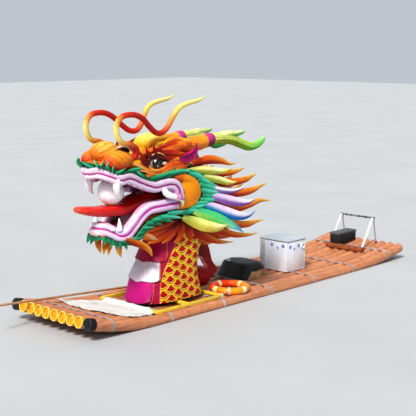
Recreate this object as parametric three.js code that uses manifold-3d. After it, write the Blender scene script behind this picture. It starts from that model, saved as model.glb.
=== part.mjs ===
// A bamboo raft with a carved dragon figurehead, in millimetres, +Z up.
// X runs from the bow to the stern, Y across the raft with the landing side at +Y.
import * as THREE from 'three';
import { mergeVertices } from 'three/addons/utils/BufferGeometryUtils.js';
import Module from 'manifold-3d';

const wasm = await Module();
wasm.setup();

// Driving dimensions of the raft
const TUBE = { count: 10, pitch: 200, radius: 99.7, sides: 14 };
const RAFT_LENGTH = 8450;
const BOW = { bendFrom: 1700, rise: 240, power: 1.8 };
const STERN = { bendFrom: 6500, rise: 190, power: 2 };
const CAP = { rim: 9, lip: 6, sides: 20 };
const YELLOW_CAP = { radius: 96, depth: 42, recess: 30, tubeFrom: 0 };
const BLACK_CAP = { radius: 100, depth: 118, recess: 8, tubeFrom: 78 };
const STRAP = { width: 42, thickness: 6, rows: [420, 1670, 2920, 4170, 5420, 6670, 7900] };
const SEAT_GAP = 0.4;
const CUT_GAP = 0.5;

// The strap under the tubes is the lowest thing on the raft
const KEEL = STRAP.thickness + SEAT_GAP;
const FLAT = TUBE.radius * Math.cos(Math.PI / TUBE.sides);
const AXIS_Z = KEEL + FLAT;
const DECK_Z = AXIS_Z + FLAT;
const STRAP_TOP = DECK_Z + SEAT_GAP + STRAP.thickness;

// Placing on the raft
const BEAM = { size: 50, near: -850, far: 520, front: 1470, middle: 2200, rear: 3000 };
const RING = { x: 3460, y: -610, radius: 300, tube: 62.5, sides: 12, segments: 24 };
const CABINET = { x0: 5280, x1: 5820, y0: -440, y1: 240, top: 790, wall: 18, lid: 26, lip: 14 };
const GENERATOR = { x0: 4240, x1: 4850, y0: -310, y1: 330, top: 515, under: 337, drape: 60 };
const BLOCK = { x0: 4306, x1: 4680, y0: -300, y1: 120 };
const TRESTLE = { near: -400, far: 400, apexX: 8190, apexZ: 895, front: 7815, rear: 8318 };
const LEG = { front: 24, rear: 16, bar: 19 };
const BEARER = { x0: 7555, x1: 7655, y0: -560, y1: 350, top: 362 };
const STERN_BOX = { x0: 7600, x1: 8255, y0: 50, y1: 300, height: 235 };
const POLE = { radius: 22.5, tipX: -780, endX: 2600, yAtBow: 550, slope: 0.112 };
const SHEET_PLY = 8;
const DRAGON_Y = -170;

// The origin lies half-way from the pole's tip to the stern
const MIDDLE_X = 3841;

const COLOURS = {
  bamboo: 0xe09a6a, yellow: 0xf2b21c, black: 0x1c1d20, strap: 0xb9a6b4, frame: 0xe6c93c,
  pole: 0xc9975a, cloth: 0xf0eeea, ring: 0xf0641e, cabinet: 0xdcdde2, steel: 0xd8dade,
  cover: 0x17181b, timber: 0xb58f5a, scales: 0xb01818, fin: 0x7d0f14, head: 0xef7d20,
  nose: 0xf5861e, lip: 0xf3d9e4, jaw: 0xf1d2df, tongue: 0xd6231c, pearl: 0xf7f1ea,
  eye: 0x2a211f, ear: 0xb5146e, horn: 0xc9e08a, whisker: 0xe0642f, mane: 0x6fc7a4,
};

// The tubes are bent up in straight lengths between these stations
const BENDS = [0, 250, 560, 900, 1300, 1700, 6500, 7150, 7800, RAFT_LENGTH];

function bentRise(x) {
  if (x < BOW.bendFrom) return BOW.rise * ((BOW.bendFrom - x) / BOW.bendFrom) ** BOW.power;
  const run = RAFT_LENGTH - STERN.bendFrom;
  if (x > STERN.bendFrom) return STERN.rise * ((x - STERN.bendFrom) / run) ** STERN.power;
  return 0;
}

// How steeply the tubes rise at x, and how far they stand above their flat stretch there
function steepness(x) {
  const next = BENDS.findIndex((station, i) => i > 0 && (station > x || i === BENDS.length - 1));
  const [a, b] = [BENDS[next - 1], BENDS[next]];
  return { from: a, slope: (bentRise(b) - bentRise(a)) / (b - a) };
}

function rise(x) {
  const { from, slope } = steepness(x);
  return bentRise(from) + slope * (x - from);
}

const tiltAt = (x) => Math.atan(steepness(x).slope);

const v3 = (x = 0, y = 0, z = 0) => new THREE.Vector3(x, y, z);

// Solids
function toSolid(geometry) {
  geometry.deleteAttribute('normal');
  geometry.deleteAttribute('uv');
  const merged = mergeVertices(geometry, 1e-3);
  const vertProperties = Float32Array.from(merged.getAttribute('position').array);
  const triVerts = Uint32Array.from(merged.getIndex().array);
  const solid = new wasm.Manifold(new wasm.Mesh({ numProp: 3, vertProperties, triVerts }));
  if (solid.volume() > 0) return solid;
  return new wasm.Manifold(new wasm.Mesh({ numProp: 3, vertProperties, triVerts: triVerts.reverse() }));
}

function toGeometry(solid) {
  const mesh = solid.getMesh();
  const geometry = new THREE.BufferGeometry();
  geometry.setAttribute('position', new THREE.Float32BufferAttribute(mesh.vertProperties, 3));
  geometry.setIndex(Array.from(mesh.triVerts));
  geometry.computeVertexNormals();
  return geometry;
}

const join = (...solids) => wasm.Manifold.union(solids);

function largest(solid) {
  return solid.decompose().reduce((a, b) => (a.volume() > b.volume() ? a : b));
}

// The same solid swollen so that each of its faces moves out by the gap
function swollen(solid, gap) {
  const geometry = toGeometry(solid);
  const position = geometry.getAttribute('position');
  const index = geometry.getIndex();
  const point = (i) => v3().fromBufferAttribute(position, i);
  const facings = Array.from({ length: position.count }, () => []);
  for (let f = 0; f < index.count; f += 3) {
    const corners = [0, 1, 2].map((k) => index.getX(f + k));
    const [a, b, c] = corners.map(point);
    const facing = b.sub(a).cross(c.sub(a)).normalize();
    for (const i of corners) facings[i].push(facing);
  }
  const rounds = 12;
  const moved = facings.map((around, i) => {
    const shift = v3();
    for (let round = 0; round < rounds; round++) {
      for (const facing of around) shift.addScaledVector(facing, Math.max(0, gap - facing.dot(shift)));
    }
    return point(i).add(shift);
  });
  moved.forEach((p, i) => position.setXYZ(i, p.x, p.y, p.z));
  return toSolid(geometry);
}

// A piece joins simple bodies. It is cut back to a small gap round the bodies of its neighbours.
function piece(bodies, ...neighbours) {
  const cutters = neighbours.flatMap((neighbour) => neighbour.cutters);
  const solid = largest(cutters.reduce((rest, cutter) => rest.subtract(cutter), join(...bodies)));
  return { solid, cutters: bodies.map((body) => swollen(body, CUT_GAP)) };
}

// A closed skin over rings of points, from one end to the other
function skin(rings) {
  const sides = rings[0].length;
  const points = rings.flat();
  const faces = [];
  for (let r = 0; r + 1 < rings.length; r++) {
    for (let i = 0; i < sides; i++) {
      const a = r * sides + i;
      const b = r * sides + ((i + 1) % sides);
      faces.push(a, b, b + sides, a, b + sides, a + sides);
    }
  }
  const last = (rings.length - 1) * sides;
  for (let i = 1; i + 1 < sides; i++) {
    faces.push(0, i + 1, i);
    faces.push(last, last + i, last + i + 1);
  }
  const geometry = new THREE.BufferGeometry().setFromPoints(points);
  geometry.setIndex(faces);
  return toSolid(geometry);
}

// A round or flattened bar along rows of [x, y, z, half width]. The thin way faces `across`.
function bar(rows, { sides = 8, flat = 1, steps = rows.length - 1, across = v3(0, 1, 0) } = {}) {
  const curve = new THREE.CatmullRomCurve3(rows.map(([x, y, z]) => v3(x, y, z)), false, 'centripetal');
  const rings = [];
  for (let s = 0; s <= steps; s++) {
    const t = s / steps;
    const at = t * (rows.length - 1);
    const row = Math.min(Math.floor(at), rows.length - 2);
    const half = THREE.MathUtils.lerp(rows[row][3], rows[row + 1][3], at - row);
    const centre = curve.getPoint(t);
    const along = curve.getTangent(t);
    const thin = across.clone().addScaledVector(along, -across.dot(along)).normalize();
    const wide = thin.clone().cross(along);
    rings.push(Array.from({ length: sides }, (_, i) => {
      const angle = (2 * Math.PI * i) / sides;
      return centre.clone()
        .addScaledVector(wide, half * Math.cos(angle))
        .addScaledVector(thin, half * flat * Math.sin(angle));
    }));
  }
  return skin(rings);
}

// A body along X from rows of [x, half width, low, high], with rounded corners
function bodyAlongX(rows, { sides = 16, square = 0.75 } = {}) {
  return skin(rows.map(([x, half, low, high]) => Array.from({ length: sides }, (_, i) => {
    const angle = (2 * Math.PI * (i + 0.5)) / sides;
    const c = Math.cos(angle);
    const s = Math.sin(angle);
    const y = half * Math.sign(c) * Math.abs(c) ** square;
    const z = (low + high) / 2 + ((high - low) / 2) * Math.sign(s) * Math.abs(s) ** square;
    return v3(x, y, z);
  })));
}

function ball(x, y, z, rx, ry, rz, wide = 14, tall = 9) {
  const geometry = new THREE.SphereGeometry(1, wide, tall);
  geometry.rotateX(Math.PI / 2);
  geometry.scale(rx, ry, rz);
  geometry.translate(x, y, z);
  return toSolid(geometry);
}

function box(x0, x1, y0, y1, z0, z1) {
  const geometry = new THREE.BoxGeometry(x1 - x0, y1 - y0, z1 - z0);
  geometry.translate((x0 + x1) / 2, (y0 + y1) / 2, (z0 + z1) / 2);
  return toSolid(geometry);
}

// A flat outline of [x, z] points, as thick as from y0 to y1
function plate(outline, y0, y1) {
  const shape = new THREE.Shape(outline.map(([x, z]) => new THREE.Vector2(x, z)));
  const geometry = new THREE.ExtrudeGeometry(shape, { depth: y1 - y0, bevelEnabled: false });
  geometry.rotateX(Math.PI / 2);
  geometry.translate(0, y1, 0);
  return toSolid(geometry);
}

const mirrored = (solid) => solid.mirror([0, 1, 0]);

// Tubes and their caps
const tubeY = (i) => (i - (TUBE.count - 1) / 2) * TUBE.pitch;

function tube(y, from) {
  const stations = [from, ...BENDS.filter((x) => x > from)];
  return skin(stations.map((x, station) => {
    const atEnd = station === 0 || station === stations.length - 1;
    const tilt = atEnd ? tiltAt(x) : 0;
    return Array.from({ length: TUBE.sides }, (_, i) => {
      const angle = (2 * Math.PI * i) / TUBE.sides;
      const up = TUBE.radius * Math.sin(angle);
      const lean = -up * Math.sin(tilt) * Math.cos(tilt);
      return v3(x + lean, y + TUBE.radius * Math.cos(angle), AXIS_Z + rise(x) + up + lean * Math.tan(tilt));
    });
  }));
}

// A cup on the bow end of a tube: closed at the tube, with a raised rim round a sunken face
function bowCap(y, { radius, depth, recess, tubeFrom }) {
  const profile = [
    [0, recess - depth], [radius - CAP.rim - CAP.lip, recess - depth], [radius - CAP.rim, -depth],
    [radius, CAP.lip / 2 - depth], [radius, -SEAT_GAP], [0, -SEAT_GAP],
  ];
  const geometry = new THREE.LatheGeometry(profile.map(([r, h]) => new THREE.Vector2(r, h)), CAP.sides);
  geometry.rotateZ(-Math.PI / 2);
  geometry.rotateY(-tiltAt(tubeFrom));
  geometry.translate(tubeFrom, y, AXIS_Z + rise(tubeFrom));
  return toSolid(geometry);
}

// A strap round the whole row of tubes, following the outer tubes' sides
function strap(x) {
  const side = tubeY(TUBE.count - 1);
  const halfTurn = TUBE.sides / 2;
  const ringAt = (reach) => {
    const radius = reach / Math.cos(Math.PI / TUBE.sides);
    return [1, -1].flatMap((sign) => Array.from({ length: halfTurn }, (_, i) => {
      const angle = (2 * Math.PI * (i - (halfTurn - 1) / 2)) / TUBE.sides;
      return new THREE.Vector2(sign * (side + radius * Math.cos(angle)), sign * radius * Math.sin(angle));
    }));
  };
  const shape = new THREE.Shape(ringAt(FLAT + SEAT_GAP + STRAP.thickness));
  shape.holes.push(new THREE.Path(ringAt(FLAT + SEAT_GAP).reverse()));
  const geometry = new THREE.ExtrudeGeometry(shape, { depth: STRAP.width, bevelEnabled: false });
  geometry.translate(0, 0, -STRAP.width / 2);
  geometry.rotateX(Math.PI / 2);
  geometry.rotateZ(Math.PI / 2);
  const { slope } = steepness(x);
  geometry.applyMatrix4(new THREE.Matrix4().set(1, 0, 0, 0, 0, 1, 0, 0, slope, 0, 1, 0, 0, 0, 0, 1));
  geometry.translate(x, 0, AXIS_Z + rise(x));
  return toSolid(geometry);
}

// The yellow square-tube frame that holds the figurehead. Its front lies on the rising tubes.
const BEAM_Z = DECK_Z + rise(BEAM.front - BEAM.size / 2) + SEAT_GAP;

function frameBeams() {
  const { size, near, far, front, middle, rear } = BEAM;
  const z0 = BEAM_Z;
  const end = size / 2 + SEAT_GAP;
  const across = (x) => box(x - size / 2, x + size / 2, near + end, far - end, z0, z0 + size);
  const along = (y) => box(front - size / 2, rear + size / 2, y - size / 2, y + size / 2, z0, z0 + size);
  return {
    frame_rail_near: along(near), frame_rail_far: along(far),
    frame_beam_front: across(front), frame_beam_middle: across(middle), frame_beam_rear: across(rear),
  };
}

// A thin white cloth over the bow deck and the front beam, as rows of [x, y] round its edge
const SHEET_EDGE = [
  [600, 310], [800, 860], [1150, 600], [1560, 360], [1620, 100], [1440, -790], [1160, -880], [860, -750],
  [720, -430], [610, -60],
];

function bowSheet() {
  const overBeam = BEAM_Z + BEAM.size + SEAT_GAP;
  const beamFoot = 30;
  const [beamFrom, beamTo] = [-1, 1].map((side) => BEAM.front + (side * (BEAM.size + beamFoot)) / 2);
  const under = [
    ...[560, 700, 900, 1150, 1380].map((x) => [x, DECK_Z + rise(x) + STRAP.thickness + 2 * SEAT_GAP]),
    [beamFrom, overBeam], [beamTo, overBeam],
    [1560, STRAP_TOP + SEAT_GAP], [1660, STRAP_TOP + SEAT_GAP],
  ];
  const over = under.map(([x, z]) => [x, z + SHEET_PLY]).reverse();
  const edge = new THREE.Shape(SHEET_EDGE.map(([x, y]) => new THREE.Vector2(x, y)));
  const prism = new THREE.ExtrudeGeometry(edge, { depth: 400, bevelEnabled: false });
  prism.translate(0, 0, DECK_Z - 50);
  return largest(plate([...under, ...over], -900, 900).intersect(toSolid(prism)));
}

function lifeRing() {
  const geometry = new THREE.TorusGeometry(RING.radius, RING.tube, RING.sides, RING.segments);
  geometry.translate(RING.x, RING.y, DECK_Z + SEAT_GAP + RING.tube);
  return toSolid(geometry);
}

// An open-topped cabinet, and its lid with a folded rim, hinged along the far top edge
function cabinet() {
  const { x0, x1, y0, y1, top, wall, lid, lip } = CABINET;
  const z0 = STRAP_TOP + SEAT_GAP;
  const shell = box(x0, x1, y0, y1, z0, top);
  const room = box(x0 + wall, x1 - wall, y0 + wall, y1 - wall, z0 + wall, top + 1);
  const cover = box(x0 - lip, x1 + lip, y0 - lip, y1 + SEAT_GAP, top + SEAT_GAP, top + SEAT_GAP + lid);
  return { cabinet_body: shell.subtract(room), cabinet_lid: cover };
}

// A generator under a black cover that hangs to the deck at the bow side, on a timber block
function generator() {
  const { x0, x1, y0, y1, top, under, drape } = GENERATOR;
  const z0 = DECK_Z + SEAT_GAP;
  const outline = [
    [x0 - 20, z0], [x0 + drape, z0], [x0 + drape, under + SEAT_GAP], [x1, under + SEAT_GAP],
    [x1 - 60, top - 40], [x1 - 110, top], [x0 + 30, top - 10], [x0, top - 60],
  ];
  return {
    generator_cover: plate(outline, y0, y1),
    generator_block: box(BLOCK.x0, BLOCK.x1, BLOCK.y0, BLOCK.y1, z0, under),
  };
}

// A tubular trestle over the stern, with its feet on the rising tubes
function trestle() {
  const { near, far, apexX, apexZ, front, rear } = TRESTLE;
  const groove = (x) => AXIS_Z + rise(x) + 60;
  const legs = [near, far].flatMap((y) => [
    bar([[front, y, groove(front), LEG.front], [apexX - 12, y, apexZ, LEG.front]]),
    bar([[rear, y, groove(rear), LEG.rear], [apexX + 12, y, apexZ, LEG.rear]]),
  ]);
  const topEnds = [near - 30, far + 30].map((y) => [apexX, y, apexZ, LEG.bar]);
  const top = bar(topEnds, { across: v3(1, 0, 0) });
  const under = [near, far].flatMap((y) => [-1, 1].map((side) => {
    const i = Math.round(y / TUBE.pitch + (TUBE.count - 1) / 2 + side / 2);
    return tube(tubeY(i), 0);
  }));
  return piece([top, ...legs], piece(under)).solid;
}

function sternLoad() {
  const under = DECK_Z + rise(BEARER.x1) + SEAT_GAP;
  const bearer = box(BEARER.x0, BEARER.x1, BEARER.y0, BEARER.y1, under, BEARER.top);
  const z0 = BEARER.top + SEAT_GAP;
  const chest = box(STERN_BOX.x0, STERN_BOX.x1, STERN_BOX.y0, STERN_BOX.y1, z0, z0 + STERN_BOX.height);
  return { stern_bearer: bearer, stern_box: chest };
}

// The punt pole lies in a groove of the deck and over a bow cap
function puntPole() {
  const { radius, tipX, endX, yAtBow, slope } = POLE;
  const yAt = (x) => yAtBow + slope * x;
  const restOn = (x, support) => {
    const offsets = Array.from({ length: TUBE.count }, (_, i) => Math.abs(tubeY(i) - yAt(x)));
    const reach = support + radius + SEAT_GAP;
    return AXIS_Z + rise(x) + Math.sqrt(reach ** 2 - Math.min(...offsets) ** 2);
  };
  const bowX = -YELLOW_CAP.depth / 2;
  const bowZ = restOn(bowX, YELLOW_CAP.radius);
  const endZ = restOn(endX, TUBE.radius);
  const zAt = (x) => endZ + ((endX - x) * (bowZ - endZ)) / (endX - bowX);
  return bar([tipX, bowX, endX].map((x) => [x, yAt(x), zAt(x), radius]));
}

// The dragon is laid out about its own median plane. One side is made and the other mirrored.
// Neck rows: [z, front of the ridge, back, half width]
const NECK_ROWS = [
  [262, 1560, 2870, 440], [620, 1640, 2785, 410], [925, 1790, 2835, 375], [1200, 1930, 2930, 350],
  [1480, 2000, 2950, 370],
];
// How round its section is along X and Y: rounder in front than behind
const NECK_ROUND = { front: [0.8, 0.7], back: [0.45, 0.4] };

function neckRing([z, front, back, half]) {
  const sides = 16;
  return Array.from({ length: sides }, (_, i) => {
    const angle = (2 * Math.PI * i) / sides;
    const c = Math.cos(angle);
    const s = Math.sin(angle);
    const [alongX, alongY] = c > 0 ? NECK_ROUND.back : NECK_ROUND.front;
    const x = (front + back) / 2 + ((back - front) / 2) * Math.sign(c) * Math.abs(c) ** alongX;
    return v3(x, half * Math.sign(s) * Math.abs(s) ** alongY, z);
  });
}

// Belly plates down the front of the neck: [x, z, radius along X, half width, radius in height]
const BELLY_PLATES = [
  [1800, 420, 235, 330, 200], [1890, 770, 215, 310, 190], [2000, 1080, 190, 280, 190],
];

function neck() {
  const shaft = skin(NECK_ROWS.map(neckRing));
  const plates = BELLY_PLATES.map(([x, z, rx, ry, rz]) => ball(x, 0, z, rx, ry, rz, 12, 8));
  const foot = box(1720, 2660, -340, 340, DECK_Z + SEAT_GAP, 300);
  return [shaft, foot, ...plates];
}

// The fin behind the neck: [x, z] round its edge, with a notch half-way up
const FIN_EDGE = [
  [2700, 1280], [3180, 1290], [3310, 1080], [3390, 900], [3440, 730], [3560, 590], [3330, 560], [3240, 760],
  [3140, 560], [3380, 470], [3600, 380], [3500, 300], [3300, 262], [2700, 262],
];

// Head rows: [x, half width, low, high]
const SKULL_ROWS = [
  [700, 150, 2590, 2700], [820, 290, 2530, 2750], [1050, 365, 2470, 2750], [1330, 390, 2440, 2760],
  [1480, 400, 2390, 2900], [1620, 415, 2350, 3000], [1850, 430, 2320, 3055], [2150, 440, 2260, 3035],
  [2330, 450, 1700, 3020], [2600, 450, 1420, 2960], [2850, 400, 1480, 2840], [3020, 280, 1700, 2640],
];
const CHEEK = { x: 2420, y: 360, z: 2065, rx: 300, ry: 175, rz: 285 };
// Brow over each eye: [x, y, z, half width]
const BROW_ROWS = [
  [1440, 340, 2790, 40], [1650, 400, 2830, 60], [1950, 420, 2830, 70], [2350, 410, 2890, 75],
  [2800, 330, 2930, 60],
];
// Folds of the throat over the top of the neck
const FOLD_ROWS = [
  [[2500, 250, 1760, 110], [2100, 330, 1560, 90], [1640, 330, 1470, 30]],
  [[2500, 300, 1700, 120], [2300, 370, 1480, 90], [2180, 370, 1290, 30]],
  [[2640, 300, 1640, 120], [2580, 360, 1420, 90], [2560, 350, 1220, 30]],
  [[2800, 250, 1640, 120], [2860, 300, 1400, 90], [2920, 280, 1180, 30]],
];

function headShell() {
  const skull = bodyAlongX(SKULL_ROWS);
  const sided = [
    ball(CHEEK.x, CHEEK.y, CHEEK.z, CHEEK.rx, CHEEK.ry, CHEEK.rz),
    bar(BROW_ROWS, { flat: 0.8 }),
    ...FOLD_ROWS.map((rows) => bar(rows, { flat: 0.6 })),
  ];
  return [skull, ...sided, ...sided.map(mirrored)];
}

function nose() {
  const side = ball(1040, 262, 2692, 285, 172, 165);
  return [ball(990, 0, 2815, 262, 205, 180), side, mirrored(side)];
}

// Lips: [x, y, z, half height], from the corner of the mouth to the middle
const UPPER_LIP = [
  [2130, 500, 1985, 60], [2165, 510, 2080, 78], [2130, 510, 2175, 80], [2030, 505, 2245, 78],
  [1880, 488, 2250, 76], [1650, 450, 2235, 80], [1410, 425, 2320, 80], [1170, 412, 2420, 80],
  [990, 395, 2410, 85], [800, 320, 2490, 90], [660, 185, 2555, 90], [580, 0, 2570, 90],
];
const LOWER_LIP = [
  [2140, 490, 1915, 45], [2010, 475, 1910, 65], [1840, 450, 1900, 75], [1600, 412, 1880, 80],
  [1400, 380, 1760, 85], [1250, 350, 1560, 90], [1100, 325, 1490, 95], [920, 262, 1545, 95],
  [790, 150, 1600, 95], [735, 0, 1615, 95],
];
// Fangs and corner teeth: [root x, y, z, half width, tip x, y, z]
const UPPER_TEETH = [[970, 340, 2400, 60, 1010, 330, 2120], [2010, 510, 2190, 70, 2200, 540, 1940]];
const LOWER_TEETH = [[1030, 292, 1560, 62, 1020, 290, 1790]];
// Chin tufts: [root x, y, z, half width, tip x, y, z]
const CHIN_TUFTS = [
  [1070, 60, 1420, 48, 985, 56, 1160],
  [1035, 250, 1410, 50, 1090, 250, 1145],
];
// The long tuft below the corner of the chin: [x, y, z, half width]
const SIDE_TUFT = [
  [1100, 330, 1440, 60], [1280, 365, 1370, 58], [1450, 390, 1300, 56], [1560, 410, 1210, 42],
  [1610, 420, 1100, 8],
];

// A closed lip line, run along one side and back along the other
function lipBand(rows) {
  const back = rows.slice(0, -1).reverse().map(([x, y, z, half]) => [x, -y, z, half]);
  const steps = 2 * rows.length + 8;
  return bar([...rows, ...back], { sides: 8, flat: 0.75, steps, across: v3(0.25, 0, -1) });
}

const spike = ([x0, y0, z0, half, x1, y1, z1]) => {
  const middle = [(x0 + x1) / 2, (y0 + y1) / 2, (z0 + z1) / 2, half * 0.7];
  const rows = [[x0, y0, z0, half], middle, [x1, y1, z1, half * 0.12]];
  return bar(rows, { sides: 6, flat: 0.7, across: v3(0.3, 1, 0.2) });
};

function bothSides(rows, make) {
  const made = rows.map(make);
  return [...made, ...made.map(mirrored)];
}

function upperLip() {
  return [lipBand(UPPER_LIP), ...bothSides(UPPER_TEETH, spike)];
}

// Jaw rows: [x, half width, low, high]
const JAW_ROWS = [
  [780, 110, 1500, 1610], [890, 220, 1430, 1590], [1100, 300, 1390, 1540], [1350, 350, 1450, 1640],
  [1600, 390, 1590, 1830], [2000, 410, 1660, 1880], [2330, 400, 1680, 1900],
];

function lowerJaw() {
  return [
    bodyAlongX(JAW_ROWS),
    lipBand(LOWER_LIP),
    ...bothSides(LOWER_TEETH, spike),
    ...bothSides(CHIN_TUFTS, spike),
    ...bothSides([SIDE_TUFT], (rows) => bar(rows, { sides: 6, flat: 0.6, steps: 6 })),
  ];
}

// The tongue fills the mouth and curls up at its tip: [x, y, z, half width]
const TONGUE_ROWS = [
  [351, 0, 1972, 50], [480, 0, 1955, 122], [640, 0, 1925, 148], [810, 0, 1902, 160],
  [1100, 0, 1889, 185], [1300, 0, 1890, 205], [1480, 0, 1920, 225], [1790, 0, 1995, 245],
  [2400, 0, 2035, 240],
];
const TONGUE_FLAT = 0.42;
const PEARL = { x: 1106, z: 2176, radius: 218 };
const EYE = { x: 1710, y: 405, z: 2620, rx: 115, ry: 62, rz: 80 };
const EAR_ROWS = [
  [2180, 420, 2650, 45], [2330, 470, 2640, 95], [2500, 510, 2690, 85], [2610, 540, 2870, 14],
];
const HORN_ROWS = [
  [2500, 240, 2850, 90], [2770, 300, 2870, 100], [3060, 320, 2915, 95], [3370, 350, 2925, 95],
  [3580, 370, 2890, 88], [3800, 380, 2790, 78], [4030, 385, 2730, 70], [4220, 390, 2770, 55],
  [4410, 400, 2865, 18],
];
const HORN_BRANCH = [
  [3250, 350, 2940, 75], [3480, 365, 2985, 62], [3700, 390, 2975, 45], [3892, 416, 2990, 12],
];
// The whisker rises behind the nostril, loops back over the brow and lifts to its tip
const WHISKER_ROWS = [
  [1330, 300, 2740, 55], [1360, 360, 2850, 52], [1250, 368, 2930, 50], [1080, 368, 2965, 50],
  [960, 366, 3060, 50], [912, 365, 3200, 50], [950, 366, 3320, 48], [1070, 368, 3400, 46],
  [1290, 369, 3410, 46], [1480, 360, 3340, 46], [1640, 340, 3210, 46], [1800, 320, 3100, 46],
  [1950, 312, 3085, 46], [2070, 320, 3170, 44], [2180, 345, 3340, 42], [2310, 365, 3480, 40],
  [2520, 369, 3545, 36], [2740, 369, 3580, 30], [2933, 368, 3650, 10],
];

// Locks of the mane, as rows of [x, y, z, half width] from root to tip: a front layer beside the cheek
const FRONT_LOCKS = [
  [[2300, 430, 2430, 40], [2550, 470, 2440, 50], [2800, 540, 2420, 56], [3120, 650, 2385, 36],
    [3210, 700, 2425, 8]],
  [[2500, 430, 2350, 40], [2760, 490, 2310, 54], [2980, 570, 2250, 58], [3260, 690, 2175, 28],
    [3340, 720, 2190, 8]],
  [[2620, 430, 2180, 40], [2960, 520, 2090, 48], [3180, 590, 2035, 52], [3450, 710, 2055, 24],
    [3520, 740, 2095, 8]],
  [[2640, 430, 2040, 50], [2980, 540, 1945, 64], [3240, 610, 1865, 78], [3620, 745, 1805, 36],
    [3750, 770, 1850, 8]],
  [[2600, 430, 1900, 50], [2940, 545, 1765, 76], [3220, 615, 1645, 88], [3620, 750, 1575, 40],
    [3760, 770, 1640, 8]],
  [[2400, 430, 1800, 50], [2680, 525, 1690, 80], [2960, 600, 1575, 92], [3360, 720, 1375, 38],
    [3470, 745, 1290, 8]],
  [[2260, 420, 1670, 50], [2460, 485, 1590, 78], [2680, 550, 1490, 94], [3020, 665, 1440, 36],
    [3130, 690, 1455, 8]],
  [[2360, 420, 1600, 50], [2560, 470, 1510, 60], [2780, 530, 1425, 62], [2960, 590, 1385, 40],
    [3100, 630, 1385, 8]],
];
// and a longer rear layer
const REAR_LOCKS = [
  [[2460, 400, 2480, 50], [2820, 430, 2575, 72], [3010, 440, 2575, 74], [3230, 460, 2530, 52],
    [3600, 480, 2475, 6]],
  [[2750, 380, 2420, 60], [3000, 410, 2360, 60], [3220, 430, 2315, 52], [3430, 460, 2310, 49],
    [3810, 480, 2370, 6]],
  [[2800, 360, 2300, 70], [3080, 400, 2230, 64], [3330, 430, 2165, 60], [3600, 455, 2140, 64],
    [3860, 470, 2160, 52], [4130, 480, 2240, 6]],
  [[2850, 360, 2040, 80], [3180, 400, 1990, 70], [3500, 440, 1945, 66], [3780, 460, 1930, 67],
    [4040, 470, 1950, 55], [4410, 480, 2030, 6]],
  [[2850, 360, 1860, 80], [3100, 400, 1770, 72], [3320, 430, 1710, 66], [3680, 455, 1670, 68],
    [3980, 470, 1710, 67], [4500, 480, 1700, 6]],
  [[2800, 360, 1660, 70], [3050, 400, 1550, 64], [3280, 430, 1460, 58], [3600, 455, 1380, 62],
    [3910, 470, 1350, 57], [4320, 480, 1370, 6]],
  [[2600, 360, 1510, 60], [2900, 400, 1400, 62], [3240, 430, 1310, 63], [3580, 450, 1200, 52],
    [3920, 460, 1150, 30], [4170, 470, 1150, 6]],
  [[2450, 340, 1460, 60], [2680, 370, 1380, 62], [2920, 390, 1240, 70], [3150, 420, 1140, 46],
    [3370, 430, 1090, 23], [3560, 440, 1070, 6]],
];
// Shorter copies of the rear locks close the back of the head: pull back, place across, height, width
const BACK_LAYERS = [
  { locks: [1, 8], shorter: 220, y: 300, inward: 40, lift: -40, wider: 1.1 },
  { locks: [1, 6], shorter: 450, y: 165, inward: 12, lift: 30, wider: 1.2 },
];
// Rolls that the locks grow from: behind the cheek, and round the back of the head
const COLLARS = [
  [[2480, 400, 2540, 110], [2680, 420, 2350, 130], [2720, 420, 2080, 140], [2640, 410, 1820, 130],
    [2420, 400, 1680, 100]],
  [[2680, 390, 2560, 80], [2900, 370, 2380, 100], [2990, 350, 2100, 110], [2960, 350, 1820, 110],
    [2840, 370, 1560, 100], [2600, 370, 1440, 80]],
];

function backLayer({ locks, shorter, y, inward, lift, wider }) {
  return REAR_LOCKS.slice(...locks).map((rows) => rows.map(([x, , z, half], i) => [
    x - (shorter * i) / rows.length, y - inward * i, z + lift, half * wider,
  ]));
}

function mane() {
  const locks = [...FRONT_LOCKS, ...REAR_LOCKS, ...BACK_LAYERS.flatMap(backLayer)];
  return [
    ...COLLARS.map((rows) => bar(rows, { flat: 0.5, steps: 8 })),
    ...locks.map((rows) => bar(rows, { sides: 6, flat: 0.5, steps: 7 })),
  ];
}

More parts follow.
